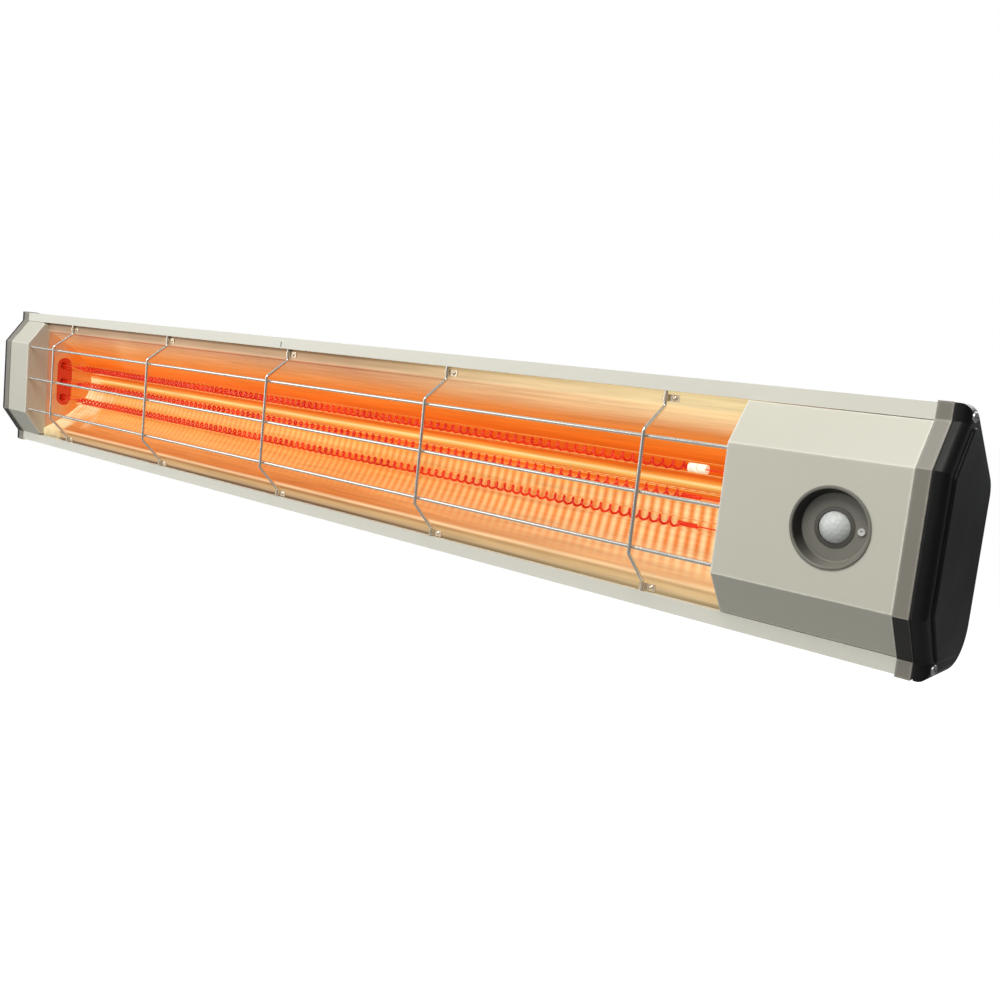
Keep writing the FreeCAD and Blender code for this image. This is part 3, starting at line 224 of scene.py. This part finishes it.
# The two front covers are pressed aluminium trays in the same grey, a shade deeper. They snap between
# the rails, and the large one at the control end carries the motion sensor.
cover_grey = (0.60, 0.585, 0.49)
# The cream edge colour runs unbroken along the folds: a painted highlight on the creases.
cover_coat = finish("cover_powder_coat", cover_grey, 0.38, wear_and_sheen_colour=(0.98, 0.95, 0.84), wear_and_sheen_amount=0.9,
                    edge=0.0024, least=0.75, drift=0.05, grain=0.0009, depth=0.00004)
dress(cover_coat, "control_cover", "left_cover")

# A moulded grey ring covers the cut ends of the channel and the covers. Its surface has a fine spark
# texture. Its lighter edges are a painted highlight, and the faces that look down are painted nearly black
# as shade.
ring_grey = (0.235, 0.22, 0.185)
ring_finish = finish("ring_plastic", ring_grey, 0.36, wear_and_sheen_colour=(0.50, 0.47, 0.41), wear_and_sheen_amount=0.85,
                     edge=0.0022, least=0.6, drift=0.10, grain=0.0007, depth=0.00003)
ring_tree = ring_finish.node_tree
ring_colour = shader_of(ring_finish).inputs["Base Color"]
# Painted shade: faces that look down are blended to near black.
ring_facing = add(ring_tree, "SeparateXYZ", {0: add(ring_tree, "NewGeometry").outputs["Normal"]})
ring_shade_mask = add(ring_tree, "MapRange", {"Value": ring_facing.outputs["Z"],
                                         "From Min": -0.25, "From Max": -0.5})
ring_painted_shade = blend_colours(ring_tree, ring_shade_mask.outputs[0], ring_colour.links[0].from_socket,
                            (0.016, 0.015, 0.013, 1))
ring_tree.links.new(ring_painted_shade, ring_colour)
dress(ring_finish, "trim_ring_left", "trim_ring_right")

# Black silicone gaskets seal the joint between each ring and its end cover. They are cut from sheet, and
# the end covers' screws squeeze them.
rubber_finish = finish("gasket_rubber", (0.012, 0.012, 0.012), 0.7, grain=0.0006, depth=0.00004)
dress(rubber_finish, "end_gasket_left", "end_gasket_right")

# The end covers are moulded in black plastic with a raised panel, and two pan-head screws hold each one.
# These screws and all the fasteners of the brackets are zinc-plated steel, dulled along their edges.
end_finish = finish("end_cover_plastic", (0.005, 0.0052, 0.0047), 0.42, wear_and_sheen_colour=(0.025, 0.025, 0.022),
                    wear_and_sheen_amount=0.6, edge=0.001, drift=0.2, grain=0.0008, depth=0.00003, swing=0.14)
shader_of(end_finish).inputs["Specular IOR Level"].default_value = 0.28
dress(end_finish, "end_cover_left", "end_cover_right")
zinc_finish = finish("zinc_plate", (0.56, 0.56, 0.55), 0.34, metallic=1.0, wear_and_sheen_colour=(0.25, 0.24, 0.22),
                     wear_and_sheen_amount=0.5, edge=0.0004, drift=0.3, drift_scale=90.0, grain=0.0005, depth=0.00003)
dress(zinc_finish, "end_cover_screws", "tilt_arm_screws",
      "pivot_bolts", "pivot_washers", "pivot_nuts")


# The trough is rolled from mirror-bright aluminium, bent to a parabola with a flat flange along each side.
# Fine rolling lines run along it, and the coils' light is painted on it, from red behind the tubes to
# cream at its lips.
def colour_ramp(tree, source, stops):
    """A colour ramp whose stops are (position, red, green, blue)."""
    ramp = add(tree, "ValToRGB", {0: source})
    elements = ramp.color_ramp.elements
    while len(elements) < len(stops):
        elements.new(0.5)
    for element, (position, *colour) in zip(elements, stops):
        element.position = position
        element.color = (*colour, 1)
    return ramp.outputs[0]


def fade(tree, source, start, end, low=0.0, high=1.0):
    """A value that goes from low to high as the source goes from start to end."""
    return add(tree, "MapRange", {"Value": source, "From Min": start, "From Max": end,
                                  "To Min": low, "To Max": high}).outputs[0]


def calculate(tree, operation, first, second=0.0):
    """One step of arithmetic."""
    return add(tree, "Math", {0: first, 1: second}, operation=operation).outputs[0]


half_height = 0.0735
# The metal is tinted red by painted light from the coils, and the colours below are the painted glow:
# reflections of the coils, with painted shadow under the rails' lips at each end.
lit_metal, rim_metal = (0.22, 0.05, 0.006), (0.11, 0.065, 0.03)
cream_light, flare_light, stripe_light = (1.0, 0.80, 0.42), (1.0, 0.84, 0.46), (0.78, 0.19, 0.018)
glow_by_millimetres = [
    (-72.8, 0.008, 0.005, 0.003), (-71.3, 0.16, 0.10, 0.06), (-69.5, 0.55, 0.36, 0.20),
    (-66.0, 0.62, 0.38, 0.17), (-63.0, 0.36, 0.16, 0.05), (-61.6, 1.0, 0.72, 0.40),
    (-59.8, 0.62, 0.20, 0.045), (-52.0, 0.78, 0.33, 0.095), (-42.0, 0.90, 0.47, 0.15),
    (-34.0, 0.96, 0.46, 0.12), (-28.5, 0.80, 0.17, 0.018), (-24.0, 0.90, 0.34, 0.06),
    (-17.0, 1.0, 0.60, 0.20), (-11.0, 0.95, 0.40, 0.08), (-6.0, 0.76, 0.105, 0.008),
    (-0.5, 0.80, 0.15, 0.014), (2.8, 1.0, 0.56, 0.14), (4.4, 1.0, 0.80, 0.36),
    (6.0, 0.95, 0.36, 0.06), (9.5, 0.76, 0.12, 0.010), (16.0, 0.70, 0.075, 0.005),
    (26.0, 0.74, 0.13, 0.010), (36.0, 0.74, 0.20, 0.025), (45.0, 0.60, 0.24, 0.065),
    (54.0, 0.50, 0.28, 0.13), (60.5, 0.42, 0.27, 0.16), (61.6, 0.20, 0.10, 0.05),
    (62.8, 0.60, 0.42, 0.28), (66.0, 0.40, 0.27, 0.17), (69.8, 0.34, 0.22, 0.14),
    (71.2, 0.09, 0.05, 0.03), (72.8, 0.006, 0.004, 0.003)]


def build_glow():
    """The painted warm light on the mirror, striped once for each turn of coil, and the metal's colour,
    tinted by painted light.
    """
    inputs = [("Turn", "Float", 0.009)]
    tree, given, result = new_group("trough_glow", inputs, [("Glow", "Color"), ("Metal", "Color")])
    place = add(tree, "TexCoord")
    axes = add(tree, "SeparateXYZ", {0: place.outputs["Object"]})
    along, height = axes.outputs["X"], axes.outputs["Z"]
    level = fade(tree, height, -half_height, half_height)
    stops = [((z / 1000 + half_height) / (2 * half_height), *colour)
             for z, *colour in glow_by_millimetres]
    base = colour_ramp(tree, level, stops)
    # The painted light pales towards the control end, at the upper lip and below the tubes.
    near = fade(tree, along, 0.05, 0.44)
    upper = fade(tree, height, 0.044, 0.060)
    lower = calculate(tree, "MULTIPLY", fade(tree, height, -0.004, -0.016),
                      fade(tree, height, -0.066, -0.046, 0.35))
    pale = calculate(tree, "MULTIPLY", near, calculate(tree, "ADD", upper, lower))
    cream = blend_colours(tree, calculate(tree, "MULTIPLY", pale, 0.85), base, (*cream_light, 1))
    # A painted highlight, bright and uneven, lies below the tubes' left ends.
    spread = add(tree, "VectorMath", {0: place.outputs["Object"], 1: (0.7, 0.2, 1.0)},
                 operation="MULTIPLY")
    fan = add(tree, "TexNoise", {"Vector": spread.outputs[0], "Scale": 34.0, "Detail": 2.0})
    edge = calculate(tree, "ADD", along, fade(tree, fan.outputs[0], 0.25, 0.75, -0.05, 0.05))
    start = calculate(tree, "MULTIPLY", fade(tree, edge, -0.47, -0.525),
                      fade(tree, height, 0.010, -0.004))
    flare = blend_colours(tree, calculate(tree, "MULTIPLY", start, 0.9), cream, (*flare_light, 1))
    # Each turn of the coils shows in the lower half as a painted reflection, a stripe stronger towards the
    # control end.
    slanted = calculate(tree, "ADD", along, calculate(tree, "MULTIPLY", axes.outputs["Y"], 0.5))
    cycle = calculate(tree, "DIVIDE", slanted, given.outputs["Turn"])
    wave = calculate(tree, "SINE", calculate(tree, "MULTIPLY", cycle, 2 * math.pi))
    band = calculate(tree, "MULTIPLY", fade(tree, height, -0.004, -0.012),
                     fade(tree, height, -0.060, -0.040))
    depth = calculate(tree, "MULTIPLY", band, fade(tree, along, -0.5, 0.45, 0.30, 0.92))
    crest = calculate(tree, "MULTIPLY", fade(tree, wave, -1.0, 1.0), depth)
    striped = blend_colours(tree, crest, flare, (*stripe_light, 1))
    # Rolling lines and slow patches break the light up.
    stretched = add(tree, "VectorMath", {0: place.outputs["Object"], 1: (0.05, 1.0, 1.0)},
                    operation="MULTIPLY")
    lines = add(tree, "TexNoise", {"Vector": stretched.outputs[0], "Scale": 300.0, "Detail": 4.0})
    patches = add(tree, "TexNoise", {"Vector": stretched.outputs[0], "Scale": 60.0, "Detail": 2.0})
    texture = calculate(tree, "ADD", fade(tree, lines.outputs[0], 0.3, 0.7, -0.13, 0.13),
                        fade(tree, patches.outputs[0], 0.3, 0.7, 0.92, 1.08))
    lit = add(tree, "VectorMath", {0: striped, "Scale": texture}, operation="SCALE")
    tree.links.new(lit.outputs[0], result.inputs["Glow"])
    # The metal's colour is painted darker and browner at the rims, where less of the coils' light falls.
    rim = calculate(tree, "MAXIMUM", fade(tree, height, 0.045, 0.066), fade(tree, height, -0.045, -0.066))
    metal = blend_colours(tree, rim, (*lit_metal, 1), (*rim_metal, 1))
    tree.links.new(metal, result.inputs["Metal"])
    return tree


mirror_finish = finish("bright_aluminium", lit_metal, 0.24, metallic=1.0, drift=0.12,
                       grain=0.0016, depth=0.00002, stretch=(0.02, 1, 1), swing=0.10)
mirror_tree, mirror_shader = mirror_finish.node_tree, shader_of(mirror_finish)
glow = add(mirror_tree, "Group", node_tree=build_glow())
mirror_tree.links.new(glow.outputs["Glow"], mirror_shader.inputs["Emission Color"])
mirror_tree.links.new(glow.outputs["Metal"], mirror_shader.inputs["Base Color"])
mirror_shader.inputs["Emission Strength"].default_value = 0.92
dress(mirror_finish, "reflector")


# Flat plates of the same bright sheet close the trough's ends. Painted light, in their colour and a glow,
# makes them orange round the long hole that the tubes pass through, fading to a dull brown at the front.
def build_end_glow():
    """Painted orange light that is strongest round the tubes, with the depths where it starts and is full.
    """
    inputs = [("Front", "Float", -0.125), ("Back", "Float", -0.085)]
    tree, given, result = new_group("end_glow", inputs, [("Glow", "Color")])
    place = add(tree, "TexCoord")
    axes = add(tree, "SeparateXYZ", {0: place.outputs["Object"]})
    ahead = fade(tree, axes.outputs["Y"], given.outputs["Front"], given.outputs["Back"])
    noise = add(tree, "TexNoise", {"Vector": place.outputs["Object"], "Scale": 30.0, "Detail": 3.0})
    level = calculate(tree, "ADD", ahead, fade(tree, noise.outputs[0], 0.3, 0.7, -0.22, 0.22))
    light = colour_ramp(tree, level, [
        (0.0, 0.30, 0.22, 0.15), (0.40, 0.58, 0.24, 0.085), (1.0, 0.74, 0.15, 0.016)])
    tree.links.new(light, result.inputs["Glow"])
    return tree


end_plate_finish = finish("bright_end_plate", (0.30, 0.14, 0.07), 0.24, metallic=1.0, drift=0.2,
                          grain=0.0016, depth=0.00002, stretch=(1, 0.05, 1))
end_tree, end_shader = end_plate_finish.node_tree, shader_of(end_plate_finish)
end_glow = add(end_tree, "Group", node_tree=build_end_glow())
end_tree.links.new(end_glow.outputs["Glow"], end_shader.inputs["Emission Color"])
end_shader.inputs["Emission Strength"].default_value = 0.8
dress(end_plate_finish, "reflector_end_left", "reflector_end_right")

# Ceramic blocks behind the trough's ends carry the tubes, ceramic caps close them, and two beads sit on
# the right end of the top coil. All are pressed steatite, like the terminal block. The caps are dusty
# white. The coils' light is painted on: the beads glow nearly white and the blocks are coloured and lit
# deep red.
ceramic_finish = finish("steatite", (0.74, 0.71, 0.64), 0.62, drift=0.12, drift_scale=60.0, grain=0.0009,
                        depth=0.00008)
dress(ceramic_finish, "tube_caps_left", "tube_caps_right", "terminal_block")
bead_finish = finish("lit_bead", (0.95, 0.90, 0.82), 0.5, drift=0.1, drift_scale=200.0, grain=0.0006,
                     depth=0.00003)
# The beads' glow is painted light.
light_up(bead_finish, (1.0, 0.82, 0.62), 0.5)
dress(bead_finish, "coil_beads")
red_lit_ceramic = finish("red_lit_steatite", (0.35, 0.05, 0.02), 0.6, drift=0.15, drift_scale=60.0, grain=0.0009,
                     depth=0.00008)
# The blocks' red colour and glow are painted light.
light_up(red_lit_ceramic, (0.75, 0.02, 0.004), 0.5)
dress(red_lit_ceramic, "tube_holder_left", "tube_holder_right")

# Each heating element is a clear tube of fused quartz, 10 mm across. It is drawn from the melt, which
# leaves a few faint lines along it.
quartz_finish = bpy.data.materials.new("quartz")
quartz_finish.use_nodes = True
quartz_shader = shader_of(quartz_finish)
quartz_shader.inputs["Base Color"].default_value = (1.0, 0.97, 0.93, 1)
quartz_shader.inputs["Roughness"].default_value = 0.02
quartz_shader.inputs["IOR"].default_value = 1.08
quartz_shader.inputs["Transmission Weight"].default_value = 1.0
quartz_grain = add(quartz_finish.node_tree, "Group", node_tree=grain_group)
quartz_grain.inputs["Size"].default_value = 0.003
quartz_grain.inputs["Stretch"].default_value = (0.03, 1, 1)
quartz_bump = add(quartz_finish.node_tree, "Bump", {
    "Distance": 0.00002, "Height": quartz_grain.outputs["Height"]})
quartz_finish.node_tree.links.new(quartz_bump.outputs[0], quartz_shader.inputs["Normal"])
dress(quartz_finish, "quartz_tube_top", "quartz_tube_middle", "quartz_tube_bottom")

# A spiral of resistance wire runs through each tube. Its open turns glow red, its ends are wound close,
# and straight leads go out through the caps.
wire_radius, wire_sides = 0.001, 7
lead_radius, lead_sides = 0.0005, 8
turn_length, turn_steps = 0.009, 22
close_length, close_steps = 0.0018, 12
open_left, open_right = -0.487, 0.405
close_left, close_right = open_left - 0.013, open_right + 0.016
bore_radius, bore_play = 0.004, 0.0001
open_radius, close_radius = bore_radius - wire_radius - bore_play, 0.00095


def wind(mesh, start, end, radius, pitch, steps):
    """Add a spiral of wire round the X axis, its two ends open."""
    length = end - start
    turns = length / pitch
    ring = bmesh.ops.create_circle(mesh, cap_ends=False, radius=wire_radius,
                                   segments=wire_sides)["verts"]
    bmesh.ops.rotate(mesh, verts=ring, cent=(0, 0, 0), matrix=Matrix.Rotation(math.pi / 2, 3, "X"))
    bmesh.ops.translate(mesh, verts=ring, vec=(start, 0, radius))
    edges = list({edge for vert in ring for edge in vert.link_edges})
    count = round(turns * steps)
    bmesh.ops.spin(mesh, geom=ring + edges, cent=(0, 0, 0), axis=(1, 0, 0), dvec=(length / count, 0, 0),
                   angle=2 * math.pi * turns, steps=count, use_merge=False, use_duplicate=False)


def rod(mesh, start, end):
    """Add a straight run of wire along the X axis."""
    made = bmesh.ops.create_cone(mesh, cap_ends=True, segments=lead_sides, radius1=lead_radius,
                                 radius2=lead_radius, depth=end - start)["verts"]
    bmesh.ops.rotate(mesh, verts=made, cent=(0, 0, 0), matrix=Matrix.Rotation(math.pi / 2, 3, "Y"))
    bmesh.ops.translate(mesh, verts=made, vec=((start + end) / 2, 0, 0))


def close_and_store(mesh, name, smooth=True):
    """Close open ends, point the faces outwards and make an object of a bmesh."""
    rims = [edge for edge in mesh.edges if edge.is_boundary]
    bmesh.ops.holes_fill(mesh, edges=rims, sides=0)
    bmesh.ops.recalc_face_normals(mesh, faces=mesh.faces[:])
    data = bpy.data.meshes.new(name)
    mesh.to_mesh(data)
    mesh.free()
    data.polygons.foreach_set("use_smooth", [smooth] * len(data.polygons))
    item = bpy.data.objects.new(name, data)
    bpy.context.scene.collection.objects.link(item)
    return item


def build_heat():
    """The colour of hot wire: deep red, with brighter spots along it."""
    tree, given, result = new_group("wire_heat", [("Size", "Float", 0.03)], [("Glow", "Color")])
    place = add(tree, "TexCoord")
    scale = add(tree, "Math", {0: 1.0, 1: given.outputs["Size"]}, operation="DIVIDE")
    noise = add(tree, "TexNoise", {"Vector": place.outputs["Object"], "Scale": scale.outputs[0],
                                   "Detail": 2.0})
    heat = colour_ramp(tree, noise.outputs[0], [(0.38, 0.62, 0.008, 0.002), (0.68, 0.86, 0.035, 0.005)])
    tree.links.new(heat, result.inputs["Glow"])
    return tree


hot_wire = finish("hot_wire", (0.10, 0.012, 0.006), 0.6, grain=0.0004, depth=0.00002)
heat = add(hot_wire.node_tree, "Group", node_tree=build_heat())
wire_shader = shader_of(hot_wire)
hot_wire.node_tree.links.new(heat.outputs["Glow"], wire_shader.inputs["Emission Color"])
wire_shader.inputs["Emission Strength"].default_value = 1.0

spiral = bmesh.new()
coil_low, coil_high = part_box("heating_coil_middle")
wind(spiral, open_left, open_right, open_radius, turn_length, turn_steps)
wind(spiral, close_left, open_left, close_radius, close_length, close_steps)
wind(spiral, open_right, close_right, close_radius, close_length, close_steps)
rod(spiral, coil_low.x, close_left)
rod(spiral, close_right, coil_high.x)
first_coil = close_and_store(spiral, "coil_wire_middle")
for word in ("top", "bottom"):
    copy = bpy.data.objects.new(f"coil_wire_{word}", first_coil.data.copy())
    bpy.context.scene.collection.objects.link(copy)
for word, phase in (("top", 0.4), ("middle", 2.1), ("bottom", 4.4)):
    low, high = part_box(f"heating_coil_{word}")
    coil = bpy.data.objects[f"coil_wire_{word}"]
    turned = Matrix.Rotation(phase, 4, "X")
    coil.data.transform(Matrix.Translation((0, (low.y + high.y) / 2, (low.z + high.z) / 2)) @ turned)
    coil.data.materials.append(hot_wire)
    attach(coil, "heater")
    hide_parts(f"heating_coil_{word}")

# The guard is drawn stainless wire: five bent cross wires whose ends sit in the rails' lips, and behind
# them three long wires that end in the front covers. Small pressed clips and rivets hold the cross wires
# on the trough's flanges.
wire_finish = finish("drawn_wire", (0.80, 0.77, 0.70), 0.26, metallic=0.9, drift=0.15,
                     drift_scale=60.0, grain=0.0006, depth=0.000006, stretch=(0.05, 1, 1))
dress(wire_finish, "guard_long_wires", "guard_cross_wires")
clip_finish = finish("pressed_steel", (0.86, 0.72, 0.54), 0.34, metallic=0.8, wear_and_sheen_colour=(1.0, 0.92, 0.78),
                     wear_and_sheen_amount=0.6, edge=0.0004, drift=0.2, drift_scale=60.0, grain=0.0005, depth=0.00002)
dress(clip_finish, "guard_clips", "guard_rivets")

# The sensor sits in a moulded grey cup in the control cover. A ring holds its milky lens, which is
# moulded in small facets, and a screw fixes the cup from the front.
cup_finish = finish("cup_plastic", (0.20, 0.192, 0.16), 0.40, wear_and_sheen_colour=(0.30, 0.29, 0.25), wear_and_sheen_amount=0.5,
                    drift=0.08, grain=0.0006, depth=0.00003)
dress(cup_finish, "sensor_cup")
lens_ring_finish = finish("lens_ring_plastic", (0.085, 0.08, 0.067), 0.42, drift=0.08, grain=0.0006,
                          depth=0.00003)
dress(lens_ring_finish, "lens_ring")
# The near-white edge colour, unbroken along the screw's rims, is a painted highlight.
cup_screw_finish = finish("bright_screw", (0.85, 0.84, 0.80), 0.38, metallic=0.6, wear_and_sheen_colour=(1.0, 1.0, 0.96),
                          wear_and_sheen_amount=0.8, edge=0.0006, least=0.6, drift=0.1, grain=0.0005, depth=0.00002)
dress(cup_screw_finish, "cup_screw")
lens_low, lens_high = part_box("sensor_lens")
lens_centre = (lens_low + lens_high) / 2


def build_cup_wall_shadow(centre):
    """A mask of the upper left side of the cup's round wall, where a shadow is painted into the plastic.
    """
    tree, given, result = new_group("cup_wall_shadow", [("Inner", "Float", 0.0205)], [("Mask", "Float")])
    place = add(tree, "TexCoord")
    offset = add(tree, "VectorMath", {0: place.outputs["Object"], 1: centre}, operation="SUBTRACT")
    flat = add(tree, "VectorMath", {0: offset.outputs[0], 1: (1, 0, 1)}, operation="MULTIPLY")
    reach = add(tree, "VectorMath", {0: flat.outputs[0]}, operation="LENGTH").outputs["Value"]
    corner = add(tree, "VectorMath", {0: flat.outputs[0], 1: (-0.8, 0, 0.6)},
                 operation="DOT_PRODUCT").outputs["Value"]
    wall = fade(tree, calculate(tree, "SUBTRACT", reach, given.outputs["Inner"]), 0.0004, 0.0012)
    ahead = add(tree, "SeparateXYZ", {0: offset.outputs[0]}).outputs["Y"]
    front = fade(tree, ahead, -0.0075, -0.0060)
    side = fade(tree, corner, -0.016, 0.012)
    mask = calculate(tree, "MULTIPLY", calculate(tree, "MULTIPLY", wall, side), front)
    tree.links.new(mask, result.inputs["Mask"])
    return tree


cup_tree = cup_finish.node_tree
cup_colour = shader_of(cup_finish).inputs["Base Color"]
# A painted shadow darkens the upper left of the cup's wall.
cup_wall_shadow = add(cup_tree, "Group", node_tree=build_cup_wall_shadow(lens_centre))
shaded_cup = blend_colours(cup_tree, cup_wall_shadow.outputs["Mask"], cup_colour.links[0].from_socket,
                           (0.012, 0.011, 0.009, 1))
cup_tree.links.new(shaded_cup, cup_colour)
lens_radius = (lens_high.x - lens_low.x) / 2
lens_skirt = 0.0024
lens_rise = lens_high.y - lens_low.y - lens_skirt
ball_radius = (lens_radius**2 + lens_rise**2) / (2 * lens_rise)
facet_groove, facet_depth = 0.00012, 0.00006
dome = bmesh.new()
bmesh.ops.create_icosphere(dome, subdivisions=3, radius=ball_radius)
bmesh.ops.rotate(dome, verts=dome.verts[:], cent=(0, 0, 0), matrix=Matrix.Rotation(math.pi / 2, 3, "X"))
bmesh.ops.bisect_plane(dome, geom=dome.verts[:] + dome.edges[:] + dome.faces[:],
                       plane_co=(0, lens_rise - ball_radius, 0), plane_no=(0, 1, 0), clear_outer=True)
bmesh.ops.inset_individual(dome, faces=dome.faces[:], thickness=facet_groove, depth=facet_depth)
rim = [edge for edge in dome.edges if edge.is_boundary]
skirt = bmesh.ops.extrude_edge_only(dome, edges=rim)["geom"]
bmesh.ops.translate(dome, verts=[item for item in skirt if isinstance(item, bmesh.types.BMVert)],
                    vec=(0, lens_skirt, 0))
bmesh.ops.translate(dome, verts=dome.verts[:],
                    vec=(lens_centre.x, lens_high.y - lens_skirt + ball_radius - lens_rise, lens_centre.z))
lens = close_and_store(dome, "faceted_lens", smooth=False)
lens_finish = finish("milky_plastic", (0.62, 0.64, 0.62), 0.22, drift=0.05, grain=0.0006, depth=0.00002)
lens_shader = shader_of(lens_finish)
lens_shader.inputs["Subsurface Weight"].default_value = 0.4
lens_shader.inputs["Subsurface Radius"].default_value = (0.003, 0.003, 0.003)
# A faint painted glow brightens the lens.
light_up(lens_finish, (1, 1, 0.95), 0.03)
lens.data.materials.append(lens_finish)
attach(lens, "heater")
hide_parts("sensor_lens")

# Behind the control cover are the sensor's board with its metal can, and the power board on nylon posts
# with two relays. The leads are sleeved in braided glass, a plated strip joins the coils' left ends, and
# the cable gland is black nylon.
board_finish = finish("circuit_board", (0.015, 0.11, 0.04), 0.35, drift=0.2, grain=0.0015, depth=0.00003)
dress(board_finish, "sensor_board", "control_board")
can_finish = finish("plated_can", (0.66, 0.60, 0.42), 0.25, metallic=1.0, grain=0.0004, depth=0.00001)
dress(can_finish, "pir_sensor")
relay_finish = finish("relay_plastic", (0.02, 0.07, 0.30), 0.4, drift=0.1, grain=0.0006, depth=0.00003)
dress(relay_finish, "relays")
sleeve_finish = finish("glass_sleeve", (0.62, 0.57, 0.44), 0.8, drift=0.2, drift_scale=200.0, grain=0.0007,
                       depth=0.0002)
dress(sleeve_finish, "return_lead", "feed_leads")
dress(clip_finish, "common_strip")
nylon_finish = finish("black_nylon", (0.014, 0.014, 0.014), 0.5, wear_and_sheen_colour=(0.05, 0.05, 0.05), wear_and_sheen_amount=0.5,
                      drift=0.2, grain=0.0007, depth=0.00004)
dress(nylon_finish, "board_posts", "cable_gland", "gland_nut")

# Two folded steel brackets stay on the wall, and two arms screwed to the heater's back turn between
# their ears. All four are powder-coated dark grey, rubbed bright at the edges.
bracket_finish = finish("bracket_powder_coat", (0.075, 0.072, 0.066), 0.48, wear_and_sheen_colour=(0.42, 0.41, 0.39),
                        wear_and_sheen_amount=0.6, edge=0.0007, drift=0.15, grain=0.0010, depth=0.00005)
dress(bracket_finish, "wall_bracket_left", "wall_bracket_right", "tilt_arm_left", "tilt_arm_right")

# A plain pale floor lies below the heater, in a bright, soft room. One lamp lights the heater from the
# front and above, one fills in from the left, and one stands behind.
floor_height, floor_reach = -0.62, 30
room = bmesh.new()
bmesh.ops.create_grid(room, x_segments=1, y_segments=1, size=floor_reach)
bmesh.ops.translate(room, verts=room.verts[:], vec=(0, 0, floor_height))
floor = close_and_store(room, "floor", smooth=False)
floor_finish = finish("pale_floor", (0.30, 0.30, 0.30), 0.8, drift=0.02, depth=0.0)
floor_tree = floor_finish.node_tree
floor_path = add(floor_tree, "LightPath")
floor_shader = shader_of(floor_finish)
floor_shader.inputs["Emission Color"].default_value = (0.86, 0.86, 0.85, 1)
floor_tree.links.new(floor_path.outputs["Is Camera Ray"], floor_shader.inputs["Emission Strength"])
floor.data.materials.append(floor_finish)
floor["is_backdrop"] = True

world = bpy.data.worlds.new("soft_room")
bpy.context.scene.world = world
world.use_nodes = True
sky = world.node_tree
seen = sky.nodes["Background"]
seen.inputs["Color"].default_value = (1, 1, 1, 1)
seen.inputs["Strength"].default_value = 1.0
direction = add(sky, "SeparateXYZ", {0: add(sky, "TexCoord").outputs["Generated"]})
dimmer = add(sky, "MapRange", {"Value": direction.outputs["X"], "From Min": 0.2, "From Max": 0.9,
                               "To Min": 0.42, "To Max": 0.10})
cast = add(sky, "Background", {"Color": (0.95, 0.97, 1.0, 1), "Strength": dimmer.outputs[0]})
path = add(sky, "LightPath")
chosen = add(sky, "MixShader", {0: path.outputs["Is Camera Ray"], 1: cast.outputs[0], 2: seen.outputs[0]})
sky.links.new(chosen.outputs[0], sky.nodes["World Output"].inputs["Surface"])


def soft_light(name, place, target, size, power, colour=(1, 1, 1)):
    """A large square lamp that points at a target."""
    lamp = bpy.data.objects.new(name, bpy.data.lights.new(name, "AREA"))
    bpy.context.scene.collection.objects.link(lamp)
    lamp.data.size = size
    lamp.data.energy = power
    lamp.data.color = colour
    aim = (Vector(target) - Vector(place)).to_track_quat("-Z", "Y")
    lamp.matrix_world = Matrix.Translation(place) @ aim.to_matrix().to_4x4()


soft_light("key_light", (0.3, -1.7, 2.0), (0.1, -0.1, 0), 1.4, 52, (1.0, 0.99, 0.96))
soft_light("fill_light", (-1.6, -1.6, 0.5), (-0.1, -0.1, 0), 1.6, 14)
soft_light("back_light", (0.4, 2.2, 1.4), (0, 0, 0), 1.6, 30)

bpy.context.scene.view_settings.view_transform = "Standard"
low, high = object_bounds()
